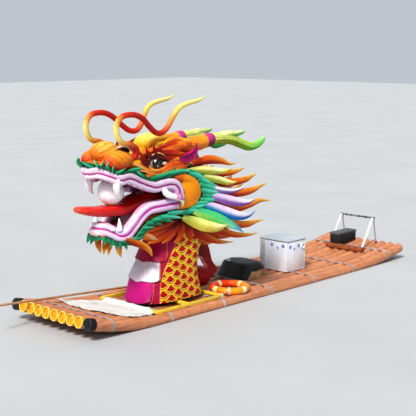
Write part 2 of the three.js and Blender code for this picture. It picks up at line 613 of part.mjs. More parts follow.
function dragon() {
  const beams = piece(Object.values(frameBeams()).map((solid) => solid.translate([0, -DRAGON_Y, 0])));
  const neckCore = piece(neck(), beams);
  const head = piece(headShell(), neckCore);
  const fin = piece([plate(FIN_EDGE, -32, 32)], neckCore, head, beams);
  const noseBalls = piece(nose(), head);
  const upper = piece(upperLip(), head, noseBalls);
  const jaw = piece(lowerJaw(), head, upper, neckCore);
  const tongueBar = bar(TONGUE_ROWS, { sides: 10, flat: TONGUE_FLAT, steps: 12, across: v3(0, 0, 1) });
  const tongue = piece([tongueBar], head, jaw, upper);
  const { x, z, radius } = PEARL;
  const pearl = piece([ball(x, 0, z, radius, radius, radius, 16, 11)], tongue, upper);
  const parts = {
    neck_core: neckCore, head_shell: head, neck_fin: fin, nose: noseBalls, upper_lip: upper, lower_jaw: jaw,
    tongue, pearl,
  };
  for (const [side, turned] of [['far', (solid) => solid], ['near', mirrored]]) {
    const eye = piece([turned(ball(EYE.x, EYE.y, EYE.z, EYE.rx, EYE.ry, EYE.rz))], head);
    const hornBars = [bar(HORN_ROWS, { steps: 14 }), bar(HORN_BRANCH, { sides: 6, steps: 5 })];
    const horn = piece(hornBars.map(turned), head);
    const earLeaf = bar(EAR_ROWS, { sides: 8, flat: 0.35, steps: 6, across: v3(0.3, 1, 0) });
    const ear = piece([turned(earLeaf)], head, horn);
    const maneSide = piece(mane().map(turned), head, jaw, upper, neckCore, ear, horn);
    const whisker = piece([turned(bar(WHISKER_ROWS, { sides: 8, steps: 36 }))], head, noseBalls);
    Object.assign(parts, {
      [`eye_${side}`]: eye, [`horn_${side}`]: horn, [`ear_${side}`]: ear, [`mane_${side}`]: maneSide,
      [`whisker_${side}`]: whisker,
    });
  }
  return parts;
}

// The assembly
const raft = new THREE.Group();
raft.position.x = -MIDDLE_X;

function add(name, solid, colour, { roughness = 0.6, metalness = 0, y = 0 } = {}) {
  const material = new THREE.MeshStandardMaterial({ color: colour, roughness, metalness });
  const mesh = new THREE.Mesh(toGeometry(solid), material);
  mesh.name = name;
  mesh.position.y = y;
  raft.add(mesh);
}

for (let i = 0; i < TUBE.count; i++) {
  const outer = i === 0 || i === TUBE.count - 1;
  const cap = outer ? BLACK_CAP : YELLOW_CAP;
  add(`tube_${i + 1}`, tube(tubeY(i), cap.tubeFrom), COLOURS.bamboo);
  add(`bow_cap_${i + 1}`, bowCap(tubeY(i), cap), outer ? COLOURS.black : COLOURS.yellow);
}
STRAP.rows.forEach((x, i) => add(`strap_${i + 1}`, strap(x), COLOURS.strap));
for (const [name, solid] of Object.entries(frameBeams())) {
  add(name, solid, COLOURS.frame, { metalness: 0.2 });
}
add('punt_pole', puntPole(), COLOURS.pole);
add('bow_sheet', bowSheet(), COLOURS.cloth);
add('life_ring', lifeRing(), COLOURS.ring);
const { cabinet_body, cabinet_lid } = cabinet();
add('cabinet_body', cabinet_body, COLOURS.cabinet);
add('cabinet_lid', cabinet_lid, COLOURS.steel, { metalness: 0.7, roughness: 0.35 });
const { generator_cover, generator_block } = generator();
add('generator_cover', generator_cover, COLOURS.cover);
add('generator_block', generator_block, COLOURS.timber);
add('trestle', trestle(), COLOURS.steel, { metalness: 0.8, roughness: 0.3 });
const { stern_bearer, stern_box } = sternLoad();
add('stern_bearer', stern_bearer, COLOURS.timber);
add('stern_box', stern_box, COLOURS.black);
const DRAGON_COLOURS = {
  neck_core: COLOURS.scales, head_shell: COLOURS.head, neck_fin: COLOURS.fin, nose: COLOURS.nose,
  upper_lip: COLOURS.lip, lower_jaw: COLOURS.jaw, tongue: COLOURS.tongue, pearl: COLOURS.pearl,
  eye: COLOURS.eye, horn: COLOURS.horn, ear: COLOURS.ear, mane: COLOURS.mane, whisker: COLOURS.whisker,
};
for (const [name, { solid }] of Object.entries(dragon())) {
  const kind = name.replace(/_(near|far)$/, '');
  add(name, solid, DRAGON_COLOURS[kind], { y: DRAGON_Y, roughness: 0.45 });
}

export default raft;
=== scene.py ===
import math

import bmesh
import bpy
from mathutils import Matrix, Vector, noise


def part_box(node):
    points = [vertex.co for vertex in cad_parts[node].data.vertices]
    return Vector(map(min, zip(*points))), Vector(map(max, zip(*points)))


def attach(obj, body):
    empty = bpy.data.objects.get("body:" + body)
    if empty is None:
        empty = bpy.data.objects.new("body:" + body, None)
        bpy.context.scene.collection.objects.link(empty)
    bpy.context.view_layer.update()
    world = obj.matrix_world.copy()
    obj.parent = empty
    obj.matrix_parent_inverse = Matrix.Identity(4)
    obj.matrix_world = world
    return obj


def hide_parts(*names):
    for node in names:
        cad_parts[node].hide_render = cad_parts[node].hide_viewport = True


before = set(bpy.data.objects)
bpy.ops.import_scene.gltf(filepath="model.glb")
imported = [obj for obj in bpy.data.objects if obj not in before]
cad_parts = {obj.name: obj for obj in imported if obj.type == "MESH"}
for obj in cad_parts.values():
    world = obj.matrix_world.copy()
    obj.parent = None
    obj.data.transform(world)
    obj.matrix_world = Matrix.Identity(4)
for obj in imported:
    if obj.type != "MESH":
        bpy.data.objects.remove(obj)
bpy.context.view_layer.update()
scene = bpy.context.scene
scene.view_settings.view_transform = "Standard"
scene.view_settings.look = "Medium High Contrast"

# Camera, light and floor
# The raft is seen from off its near bow, a little above the water. The light is a soft high
# sun from the bow side with a pale sky, and the pale floor lies at the waterline.
camera = bpy.data.objects.new("camera", bpy.data.cameras.new("camera"))
scene.collection.objects.link(camera)
camera.location = (-13.230, -12.266, 4.477)
camera.rotation_euler = (math.radians(90 - 9.15), 0, math.radians(43.47 - 90))
camera.data.lens = 87.06
camera.data.sensor_width = 36
camera.data.clip_end = 300
scene.camera = camera

WATERLINE = 0.07
FLOOR_HALF = 90


def srgb(colour):
    """The linear RGBA of an sRGB hex colour."""
    channels = [int(colour[i:i + 2], 16) / 255 for i in (1, 3, 5)]
    linear = [c / 12.92 if c <= 0.04045 else ((c + 0.055) / 1.055) ** 2.4 for c in channels]
    return (*linear, 1.0)


def finish(name):
    """An empty node material."""
    made = bpy.data.materials.new(name)
    made.use_nodes = True
    made.node_tree.nodes.clear()
    return made


def add(material, kind, settings={}, links={}):
    """Adds a shader node, sets its properties, ramp stops and inputs, and links its inputs.
    A link is an output, or a node that stands for its first output."""
    node = material.node_tree.nodes.new("ShaderNode" + kind)
    for key, value in settings.items():
        if key == "stops":
            stops = node.color_ramp.elements
            stops.remove(stops[1])
            stops[0].position, stops[0].color = value[0][0], srgb(value[0][1])
            for place, colour in value[1:]:
                stops.new(place).color = srgb(colour)
        elif isinstance(key, str) and hasattr(node, key):
            setattr(node, key, value)
        else:
            node.inputs[key].default_value = srgb(value) if isinstance(value, str) else value
    for key, source in links.items():
        output = source.outputs[0] if isinstance(source, bpy.types.Node) else source
        material.node_tree.links.new(output, node.inputs[key])
    return node


sun = bpy.data.objects.new("sun", bpy.data.lights.new("sun", "SUN"))
sun.data.energy = 3.55
sun.data.angle = math.radians(14)
sun.data.color = (1.0, 0.965, 0.91)
sun.rotation_euler = Vector((-0.75, -0.30, 0.85)).to_track_quat("Z", "Y").to_euler()
scene.collection.objects.link(sun)

sky = bpy.data.worlds.new("sky")
scene.world = sky
sky.use_nodes = True
sky.node_tree.nodes["Background"].inputs["Color"].default_value = srgb("#e6edf5")
sky.node_tree.nodes["Background"].inputs["Strength"].default_value = 0.58

floor_finish = finish("matt painted floor")
floor_coords = add(floor_finish, "TexCoord").outputs["Object"]
floor_tone = add(floor_finish, "TexNoise", {"Scale": 0.4, "Detail": 3.0}, {"Vector": floor_coords})
floor_ramp = add(floor_finish, "ValToRGB", {"stops": [(0.3, "#b4b6b9"), (0.7, "#babcbe")]},
    {"Fac": floor_tone})
floor_paint = add(floor_finish, "BsdfPrincipled", {"Roughness": 0.7}, {"Base Color": floor_ramp})
add(floor_finish, "OutputMaterial", {}, {"Surface": floor_paint})
bm = bmesh.new()
bmesh.ops.create_grid(bm, x_segments=1, y_segments=1, size=FLOOR_HALF)
bmesh.ops.translate(bm, vec=(0, 0, WATERLINE), verts=bm.verts)
floor_mesh = bpy.data.meshes.new("floor")
bm.to_mesh(floor_mesh)
bm.free()
floor_mesh.materials.append(floor_finish)
floor = bpy.data.objects.new("floor", floor_mesh)
scene.collection.objects.link(floor)

# Tubes
# Ten pipes of bamboo-coloured polyethylene, 200 mm across, bent up at bow and stern when warm.
# Each is moulded with rings like a bamboo's nodes and is plugged at the stern by a domed end.
# They lie side by side and are held by the straps alone.
RAFT_X = -3.841
RAFT = Matrix.Translation((RAFT_X, 0, 0))
TUBE_COUNT, TUBE_PITCH, TUBE_RADIUS = 10, 0.2, 0.0985
RAFT_LENGTH = 8.45
AXIS_Z = 0.1036
DECK_Z = 0.2008
BOW_BEND, BOW_RISE = 1.7, 0.24
STERN_BEND, STERN_RUN, STERN_RISE = 6.5, 1.95, 0.19
BENDS = [0, 0.25, 0.56, 0.9, 1.3, BOW_BEND, STERN_BEND, 7.15, 7.8, RAFT_LENGTH]
EASE = 0.09
NODE_SPACING = 0.46
NODE_HEIGHT = 0.0016
SLEEVES = {0: 0.078, TUBE_COUNT - 1: 0.078}
NECK_X, NECK_Y = 2.25, -0.17


def bent_rise(x):
    """How far a tube bent in one smooth curve is up at x."""
    if x < BOW_BEND:
        return BOW_RISE * ((BOW_BEND - x) / BOW_BEND) ** 1.8
    return STERN_RISE * ((x - STERN_BEND) / STERN_RUN) ** 2 if x > STERN_BEND else 0.0


def rise(x):
    """How far the tubes are bent up at x, in straight lengths between the bends."""
    after = next((i for i, b in enumerate(BENDS) if i and (b > x or i == len(BENDS) - 1)))
    a, b = BENDS[after - 1], BENDS[after]
    return bent_rise(a) + (bent_rise(b) - bent_rise(a)) * (x - a) / (b - a)


def eased_rise(x):
    """The same with each bend a little rounded."""
    return (rise(x - EASE) + 2 * rise(x) + rise(x + EASE)) / 4


def tube_y(i):
    """The middle of a tube, across the raft."""
    return (i - (TUBE_COUNT - 1) / 2) * TUBE_PITCH


def bare_mesh():
    """An empty mesh whose vertices can hold how far across a strand they lie, and a colour."""
    bm = bmesh.new()
    bm.verts.layers.float.new("strand")
    bm.verts.layers.float_color.new("tint")
    return bm


def moved(bm, matrix):
    """The same mesh, moved by a matrix."""
    bmesh.ops.transform(bm, matrix=matrix, verts=bm.verts)
    return bm


def placed(where, size, turn=Matrix()):
    """The matrix that scales by a size, then turns, then moves to a place."""
    return Matrix.Translation(where) @ turn @ Matrix.Diagonal((*size, 1))


def unit_ring(sides, square=(1.0, 1.0), rear=None):
    """A round or squarish ring of edges, one unit in radius, that knows how far across each vertex is.
    With `rear`, the half towards +X is squared by that instead."""
    bm = bare_mesh()
    strand = bm.verts.layers.float["strand"]
    bmesh.ops.create_circle(bm, segments=sides, radius=1)
    for v in bm.verts:
        v[strand] = v.co.x
        along, aside = rear if rear and v.co.x > 0 else square
        v.co.x = math.copysign(abs(v.co.x) ** along, v.co.x)
        v.co.y = math.copysign(abs(v.co.y) ** aside, v.co.y)
    return bm


def blend_colour(a, b, t):
    """The mixture of two linear colours: the first at 0, the second at 1."""
    return [p + (q - p) * t for p, q in zip(a, b)]


def along_colours(colours, t):
    """The linear colour at t, from 0 to 1, through a row of evenly spaced sRGB hex colours."""
    at = t * (len(colours) - 1)
    i = min(int(at), max(len(colours) - 2, 0))
    return blend_colour(srgb(colours[i]), srgb(colours[min(i + 1, len(colours) - 1)]), at - i)


def extruded(bm, places, colours, under=None):
    """Extrudes a ring of edges from place to place, closes its ends and colours it along its length.
    With `under`, the side that lies towards +strand has that second row of colours."""
    strand = bm.verts.layers.float["strand"]
    tint = bm.verts.layers.float_color["tint"]
    moved(bm, places[0])
    fresh, ring = bm.verts[:], bm.edges[:]
    first = ring
    last = len(places) - 1
    for i, place in enumerate(places):
        if i:
            made = bmesh.ops.extrude_edge_only(bm, edges=ring)["geom"]
            fresh = [g for g in made if isinstance(g, bmesh.types.BMVert)]
            ring = [g for g in made if isinstance(g, bmesh.types.BMEdge)
                and all(v in fresh for v in g.verts)]
            bmesh.ops.transform(bm, matrix=place @ places[i - 1].inverted(), verts=fresh)
        over = along_colours(colours, i / last)
        below = along_colours(under, i / last) if under else over
        for v in fresh:
            t = min(max(v[strand] * 1.4 + 0.5, 0), 1)
            v[tint] = blend_colour(over, below, t)
    bmesh.ops.holes_fill(bm, edges=first + ring, sides=0)
    bmesh.ops.recalc_face_normals(bm, faces=bm.faces)
    return bm


def smooth_path(rows, steps):
    """Even steps along a smooth curve through rows of numbers."""
    last = len(rows) - 1
    made = []
    for s in range(steps + 1):
        at = s / steps * last
        i = min(int(at), last - 1)
        t = at - i
        p, q, r, u = (Vector(rows[min(max(i + k, 0), last)]) for k in (-1, 0, 1, 2))
        made.append(0.5 * (2 * q + (r - p) * t + (2 * p - 5 * q + 4 * r - u) * t ** 2
            + (3 * q - p - 3 * r + u) * t ** 3))
    return made


def sweep(rows, sides=12, flat=1.0, across=(0, 1, 0), steps=None, colours=("#ffffff",), under=None,
        square=(1, 1), ring=None):
    """A bar along rows of (x, y, z, half width). It is flattened in the direction of `across`."""
    path = smooth_path(rows, steps) if steps else [Vector(row) for row in rows]
    places = []
    for i, row in enumerate(path):
        along = path[min(i + 1, len(path) - 1)].to_3d() - path[max(i - 1, 0)].to_3d()
        along.normalize()
        thin = (Vector(across) - along * along.dot(Vector(across))).normalized()
        wide = thin.cross(along)
        half = max(row.w, 0.0012)
        turn = Matrix((wide, thin, along)).transposed().to_4x4()
        places.append(placed(row.to_3d(), (half, half * flat, half), turn))
    return extruded(ring or unit_ring(sides, square), places, colours, under)


def gather(parts):
    """One mesh of several, with their attributes."""
    whole = bare_mesh()
    for part in parts:
        loose = bpy.data.meshes.new("loose")
        part.to_mesh(loose)
        part.free()
        whole.from_mesh(loose)
        bpy.data.meshes.remove(loose)
    return whole


def piece(name, parts, material, at, replaces=(), body="raft", sharp=40):
    """Puts a finished mesh in its place on the raft, as an object that moves with `body`."""
    bm = moved(gather(parts) if isinstance(parts, list) else parts, at)
    mesh = bpy.data.meshes.new(name)
    bm.to_mesh(mesh)
    bm.free()
    mesh.materials.append(material)
    mesh.shade_smooth()
    mesh.set_sharp_from_angle(angle=math.radians(sharp))
    made = bpy.data.objects.new(name, mesh)
    scene.collection.objects.link(made)
    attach(made, body)
    if replaces:
        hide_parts(*replaces)
    return made


# Extruded polyethylene: an even semi-matt skin, dusty on top, streaked lengthways where water runs
# off, and stained darker towards the waterline. Scuffs of about 20 mm break its colour.
pipe = finish("extruded polyethylene pipe, bamboo colour")
pipe_coords = add(pipe, "TexCoord").outputs["Object"]
pipe_tint = add(pipe, "Attribute", {"attribute_name": "tint"})
pipe_long = add(pipe, "Mapping", {"Scale": (0.9, 14.0, 14.0)}, {"Vector": pipe_coords})
pipe_streaks = add(pipe, "TexNoise", {"Scale": 2.2, "Detail": 6.0, "Roughness": 0.6}, {"Vector": pipe_long})
pipe_blots = add(pipe, "TexNoise", {"Scale": 7.0, "Detail": 5.0, "Roughness": 0.65},
    {"Vector": pipe_coords})
pipe_wear = add(pipe, "ValToRGB", {"stops": [(0.28, "#b06d4b"), (0.44, "#c9835c"), (0.60, "#d6936b"),
    (0.80, "#e6ac88")]}, {"Fac": pipe_streaks})
pipe_tone = add(pipe, "MixRGB", {"blend_type": "MULTIPLY", "Fac": 1.0},
    {"Color1": pipe_wear, "Color2": pipe_tint})
pipe_stain = add(pipe, "ValToRGB", {"stops": [(0.36, "#8a5a3e"), (0.47, "#ffffff")]}, {"Fac": pipe_blots})
pipe_mixed = add(pipe, "MixRGB", {"blend_type": "MULTIPLY", "Fac": 0.22},
    {"Color1": pipe_tone, "Color2": pipe_stain})
pipe_z = add(pipe, "SeparateXYZ", {}, {"Vector": pipe_coords}).outputs["Z"]
pipe_wet = add(pipe, "MapRange", {"From Min": 0.075, "From Max": 0.115, "To Min": 0.55, "To Max": 0.0},
    {"Value": pipe_z})
pipe_base = add(pipe, "MixRGB", {"blend_type": "MULTIPLY", "Color2": "#6b4a36"},
    {"Fac": pipe_wet, "Color1": pipe_mixed})
pipe_bump = add(pipe, "Bump", {"Strength": 0.12, "Distance": 0.004}, {"Height": pipe_blots})
pipe_skin = add(pipe, "BsdfPrincipled", {"Roughness": 0.46, "IOR": 1.5},
    {"Base Color": pipe_base, "Normal": pipe_bump})
add(pipe, "OutputMaterial", {}, {"Surface": pipe_skin})


def tube_rows(i, start):
    """Stations along one tube with a raised ring at each node and a dome at the stern end."""
    y = tube_y(i)
    # The nodes of neighbours are staggered.
    first_node = start + 0.12 + 0.31 * ((i * 7) % 10) / 10
    stations = {start: 0.0, start + 0.03: 0.0}
    x = first_node
    while x < RAFT_LENGTH - 0.1:
        for step, lift in ((0.016, 0.0), (0.007, 1.0), (0.002, 0.35)):
            stations[x - step] = stations[x + step] = lift
        for part in (0.2, 0.4, 0.6, 0.8):
            stations[x + NODE_SPACING * part] = -0.25
        x += NODE_SPACING
    rows = [(s, y, AXIS_Z + eased_rise(s), TUBE_RADIUS + NODE_HEIGHT * lift)
        for s, lift in sorted(stations.items()) if s < RAFT_LENGTH - 0.03]
    for inset, share in ((0.028, 1.0), (0.014, 0.96), (0.005, 0.86), (0.0, 0.62)):
        s = RAFT_LENGTH - inset
        rows.append((s, y, AXIS_Z + eased_rise(s), TUBE_RADIUS * share))
    return rows, first_node


for i in range(TUBE_COUNT):
    rows, first_node = tube_rows(i, SLEEVES.get(i, 0.0))
    tube = sweep(rows, sides=32)
    tint = tube.verts.layers.float_color["tint"]
    shade = 0.9 + 0.1 * math.sin(i * 2.4)
    for v in tube.verts:
        ring = abs((v.co.x - first_node + NODE_SPACING / 2) % NODE_SPACING - NODE_SPACING / 2)
        dark = 0.84 if ring < 0.004 else (0.94 if ring < 0.02 else 1.0)
        warm = 0.86 if v.co.x > RAFT_LENGTH - 0.04 else 1.0
        aside = (v.co.y - tube_y(i)) / TUBE_RADIUS
        # Painted shade: the tubes are darker where two of them touch, in the grooves between them, so not
        # on the outer sides.
        outer = (i == 0 and aside < 0) or (i == TUBE_COUNT - 1 and aside > 0)
        if -1 < aside * (1 if i else -1) and 0.9 < abs(aside) and not outer:
            dark *= 0.55
        # Boots and spilt fuel have left the deck brown between the figurehead and the cabinet.
        trodden = max(1 - abs(v.co.x - 4.45) / 1.0, 0) * (0.25 if i < 2 else 1.0) * (v.co.z > AXIS_Z)
        dark *= 1 - 0.42 * min(1.6 * trodden, 1)
        # Painted shadow: under the figurehead the tubes are painted nearly black, as the shade beneath the
        # neck.
        beneath = min(max(1.3 - abs(v.co.x - NECK_X) / 0.62, 0), 1)
        neck_shadow = beneath * min(max(1.6 - abs(v.co.y - NECK_Y) / 0.34, 0), 1)
        dark *= 1 - 0.72 * neck_shadow * (v.co.z > AXIS_Z)
        v[tint] = (dark * shade, dark * shade * warm, dark * shade * warm * 0.98, 1)
    piece(f"pipe_{i + 1}", tube, pipe, RAFT, replaces=[f"tube_{i + 1}"], sharp=60)

# Bow caps
# A moulded cap closes each tube at the bow: eight yellow polypropylene cups with a raised rim
# round a sunken face, and two long black rubber sleeves on the outer tubes. They are pushed on.
# The cup's colours carry painted light: darker in its grooves and steps as painted shade, and palest on the
# crest of the rim as a painted highlight.
YELLOW_CUP = [
    (0.0, -0.016, "#f0b024"), (0.012, -0.016, "#f0b024"), (0.016, -0.0125, "#e09a18"),
    (0.060, -0.0125, "#eba81e"), (0.068, -0.014, "#d0850f"), (0.074, -0.020, "#dd9412"),
    (0.080, -0.036, "#f0b222"), (0.083, -0.0415, "#fbdc66"), (0.088, -0.0425, "#fde684"),
    (0.0925, -0.0410, "#fbdc66"), (0.0955, -0.035, "#f3b822"), (0.096, -0.024, "#eeae1c"),
    (0.0945, -0.020, "#c98a10"), (0.0945, -0.016, "#c98a10"), (0.096, -0.012, "#eeae1c"),
    (0.096, -0.0006, "#eaa81a"), (0.0, -0.0006, "#eaa81a"),
]
# The sleeve's colours carry painted light: greyer on its ridges as painted highlights, and near black in
# its grooves as painted shade.
BLACK_SLEEVE = [
    (0.0, -0.033, "#232326"), (0.028, -0.033, "#232326"), (0.031, -0.030, "#101012"),
    (0.055, -0.030, "#18181a"), (0.058, -0.034, "#303033"), (0.074, -0.034, "#232326"),
    (0.078, -0.031, "#101012"), (0.084, -0.036, "#29292c"), (0.089, -0.0395, "#3a3a3d"),
    (0.095, -0.0385, "#303033"), (0.0985, -0.034, "#1e1e20"), (0.100, -0.024, "#18181a"),
    (0.100, 0.060, "#151517"), (0.1012, 0.064, "#232326"), (0.1012, 0.072, "#232326"),
    (0.100, 0.077, "#151517"), (0.0, 0.077, "#151517"),
]


def turned(bm, axis, steps):
    """Turns all of a line or ring once round an axis and closes the seam."""
    bmesh.ops.spin(bm, geom=bm.verts[:] + bm.edges[:], cent=(0, 0, 0), axis=axis, angle=2 * math.pi,
        steps=steps, use_merge=True)
    bmesh.ops.remove_doubles(bm, verts=bm.verts, dist=1e-5)
    bmesh.ops.recalc_face_normals(bm, faces=bm.faces)
    return bm


def spun(profile, steps=48):
    """Turns a profile of (radius, place along X, colour) about the X axis."""
    bm = bare_mesh()
    tint = bm.verts.layers.float_color["tint"]
    line = []
    for radius, x, colour in profile:
        v = bm.verts.new((x, 0, radius))
        v[tint] = srgb(colour)
        line.append(v)
    for pair in zip(line, line[1:]):
        bm.edges.new(pair)
    return turned(bm, (1, 0, 0), steps)


# Moulded polypropylene and rubber: smooth and half glossy, mottled with dust. The mottling is drawn at
# about 12 mm, coarser than real dust, so that it shows. The tint it reads carries painted light: painted
# shade in the caps' grooves, painted highlights on their rims, and a painted sunlit side on the life ring.
moulded = finish("injection-moulded polypropylene")
moulded_coords = add(moulded, "TexCoord").outputs["Object"]
moulded_tint = add(moulded, "Attribute", {"attribute_name": "tint"})
moulded_dust = add(moulded, "TexNoise", {"Scale": 38.0, "Detail": 5.0, "Roughness": 0.6},
    {"Vector": moulded_coords})
moulded_film = add(moulded, "ValToRGB", {"stops": [(0.42, "#ffffff"), (0.66, "#c9bda6")]},
    {"Fac": moulded_dust})
moulded_base = add(moulded, "MixRGB", {"blend_type": "MULTIPLY", "Fac": 0.7},
    {"Color1": moulded_tint, "Color2": moulded_film})
moulded_rough = add(moulded, "MapRange", {"To Min": 0.28, "To Max": 0.5}, {"Value": moulded_dust})
moulded_bump = add(moulded, "Bump", {"Strength": 0.12, "Distance": 0.002}, {"Height": moulded_dust})
moulded_skin = add(moulded, "BsdfPrincipled", {"IOR": 1.49, "Specular IOR Level": 0.35},
    {"Base Color": moulded_base, "Roughness": moulded_rough, "Normal": moulded_bump})
add(moulded, "OutputMaterial", {}, {"Surface": moulded_skin})

for i in range(TUBE_COUNT):
    outer = i in SLEEVES
    start = SLEEVES.get(i, 0.0)
    cap = spun(BLACK_SLEEVE if outer else YELLOW_CUP)
    lean = math.atan((rise(0.2) - rise(0.0)) / 0.2)
    foot = (start, tube_y(i), AXIS_Z + rise(start))
    if outer:
        bmesh.ops.translate(cap, vec=(-start, 0, 0), verts=cap.verts)
    moved(cap, Matrix.Translation(foot) @ Matrix.Rotation(-lean, 4, "Y"))
    piece(f"cap_{i + 1}", cap, moulded, RAFT, replaces=[f"bow_cap_{i + 1}"], sharp=50)

# Straps
# Seven flat polyester lashing straps, 42 mm wide, go right round the row of tubes and hold it
# together. They are pulled tight and knotted at the deck edge.

# Woven polyester webbing: a dull grey weave of 2.5 mm cords, bleached along the edges and
# grubby where it crosses the deck.
webbing = finish("woven polyester webbing, weathered")
webbing_coords = add(webbing, "TexCoord").outputs["Object"]
webbing_weave = add(webbing, "TexWave", {"bands_direction": "Y", "Scale": 62.0, "Distortion": 0.4},
    {"Vector": webbing_coords}).outputs["Fac"]
webbing_dirt = add(webbing, "TexNoise", {"Scale": 9.0, "Detail": 4.0}, {"Vector": webbing_coords})
webbing_tone = add(webbing, "ValToRGB", {"stops": [(0.3, "#837c7c"), (0.5, "#a5a1a2"), (0.7, "#cdccd0")]},
    {"Fac": webbing_dirt})
webbing_shade = add(webbing, "ValToRGB", {"stops": [(0.0, "#a9a2a8"), (1.0, "#ffffff")]},
    {"Fac": webbing_weave})
webbing_base = add(webbing, "MixRGB", {"blend_type": "MULTIPLY", "Fac": 0.6},
    {"Color1": webbing_tone, "Color2": webbing_shade})
webbing_bump = add(webbing, "Bump", {"Strength": 0.5, "Distance": 0.002}, {"Height": webbing_weave})
webbing_cloth = add(webbing, "BsdfPrincipled", {"Roughness": 0.72, "Sheen Weight": 0.3},
    {"Base Color": webbing_base, "Normal": webbing_bump})
add(webbing, "OutputMaterial", {}, {"Surface": webbing_cloth})
for i in range(7):
    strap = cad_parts[f"strap_{i + 1}"]
    strap.data.materials.clear()
    strap.data.materials.append(webbing)

# Yellow frame
# Two rails and three cross beams of 50 mm square steel tube, welded and brushed with yellow
# enamel. The frame lies on the deck and its beams carry the figurehead.
BEAM_Z, BEAM_SIZE = 0.2125, 0.05
HALF_BEAM, BEAM_TOP = BEAM_SIZE / 2, BEAM_Z + BEAM_SIZE
WELD_HALF = 0.005
BEAM_Y = (-0.85, 0.52)
BEAM_X = (1.47, 2.20, 3.00)


def block(low, high, bevel=0.004, segments=2):
    """A box with rounded edges between two corners."""
    bm = bare_mesh()
    bmesh.ops.create_cube(bm, size=1)
    size = [b - a for a, b in zip(low, high)]
    middle = [(a + b) / 2 for a, b in zip(low, high)]
    moved(bm, placed(middle, size))
    bmesh.ops.bevel(bm, geom=bm.edges[:], offset=bevel, segments=segments, profile=0.5, affect="EDGES",
        material=-1)
    tint = bm.verts.layers.float_color["tint"]
    for v in bm.verts:
        v[tint] = (1, 1, 1, 1)
    return bm


# Brushed enamel on steel: a warm yellow coat with brush lines about 3 mm apart, chipped to dark
# primer and rust along its edges.
enamel = finish("brushed yellow enamel over steel")
enamel_coords = add(enamel, "TexCoord").outputs["Object"]
enamel_blots = add(enamel, "TexNoise", {"Scale": 11.0, "Detail": 7.0, "Roughness": 0.7},
    {"Vector": enamel_coords})
enamel_long = add(enamel, "Mapping", {"Scale": (2.0, 30.0, 30.0)}, {"Vector": enamel_coords})
enamel_brush = add(enamel, "TexNoise", {"Scale": 9.0, "Detail": 3.0}, {"Vector": enamel_long})
enamel_tone = add(enamel, "ValToRGB", {"stops": [(0.3, "#c79f1c"), (0.55, "#e8cb3c"), (0.8, "#f4e06a")]},
    {"Fac": enamel_brush})
enamel_chip = add(enamel, "ValToRGB", {"stops": [(0.62, "#000000"), (0.66, "#ffffff")]},
    {"Fac": enamel_blots})
enamel_base = add(enamel, "MixRGB", {"Color2": "#4d3317"}, {"Fac": enamel_chip, "Color1": enamel_tone})
enamel_bump = add(enamel, "Bump", {"Strength": 0.3, "Distance": 0.002, "invert": True},
    {"Height": enamel_chip})
enamel_coat = add(enamel, "BsdfPrincipled", {"Roughness": 0.42, "Coat Weight": 0.15},
    {"Base Color": enamel_base, "Normal": enamel_bump})
add(enamel, "OutputMaterial", {}, {"Surface": enamel_coat})


def weld(x, y):
    """A lumpy weld bead round the corner where two beams meet."""
    foot, bend = (x - HALF_BEAM, y, BEAM_Z, WELD_HALF), (x - HALF_BEAM, y, BEAM_TOP, WELD_HALF)
    end = (x + HALF_BEAM, y, BEAM_TOP, WELD_HALF)
    return [sweep([foot, bend], sides=8, steps=6), sweep([bend, end], sides=8, steps=6)]


BOW_END, STERN_END = BEAM_X[0] - HALF_BEAM, BEAM_X[-1] + HALF_BEAM
for side, y in zip(("near", "far"), BEAM_Y):
    rail = block((BOW_END, y - HALF_BEAM, BEAM_Z), (STERN_END, y + HALF_BEAM, BEAM_TOP))
    inner = y + math.copysign(HALF_BEAM, -y)
    welds = [bead for x in BEAM_X for bead in weld(x, inner)]
    piece(f"rail_{side}", [rail, *welds], enamel, RAFT, replaces=[f"frame_rail_{side}"])
low_y, high_y = BEAM_Y[0] + HALF_BEAM, BEAM_Y[1] - HALF_BEAM
for place, x in zip(("front", "middle", "rear"), BEAM_X):
    beam = block((x - HALF_BEAM, low_y, BEAM_Z), (x + HALF_BEAM, high_y, BEAM_TOP))
    piece(f"beam_{place}", beam, enamel, RAFT, replaces=[f"frame_beam_{place}"])

# Punt pole
# A bamboo pole 45 mm thick, lying loose over the far bow. It is one dried culm with a node every
# 280 mm, worn shiny by hands.
POLE = {"tip": -0.78, "end": 2.6, "y": 0.55, "slope": 0.112, "half": 0.0225}
pole_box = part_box("punt_pole")
pole_low = pole_box[0].z + POLE["half"]
pole_high = pole_box[1].z - POLE["half"]
culm_rows = []
x = POLE["tip"]
while x < POLE["end"]:
    for step, lift in ((-0.012, 0.0), (-0.004, 0.0022), (0.0, 0.0), (0.004, 0.0026), (0.012, 0.0)):
        place = min(max(x + step, POLE["tip"]), POLE["end"])
        t = (place - POLE["tip"]) / (POLE["end"] - POLE["tip"])
        culm_rows.append((place, POLE["y"] + POLE["slope"] * place, pole_high + (pole_low - pole_high) * t,
            POLE["half"] * (0.80 + 0.12 * t) + lift))
    x += 0.28
culm_rows.sort()
culm_rows = [row for i, row in enumerate(culm_rows) if i == 0 or row[0] - culm_rows[i - 1][0] > 0.001]

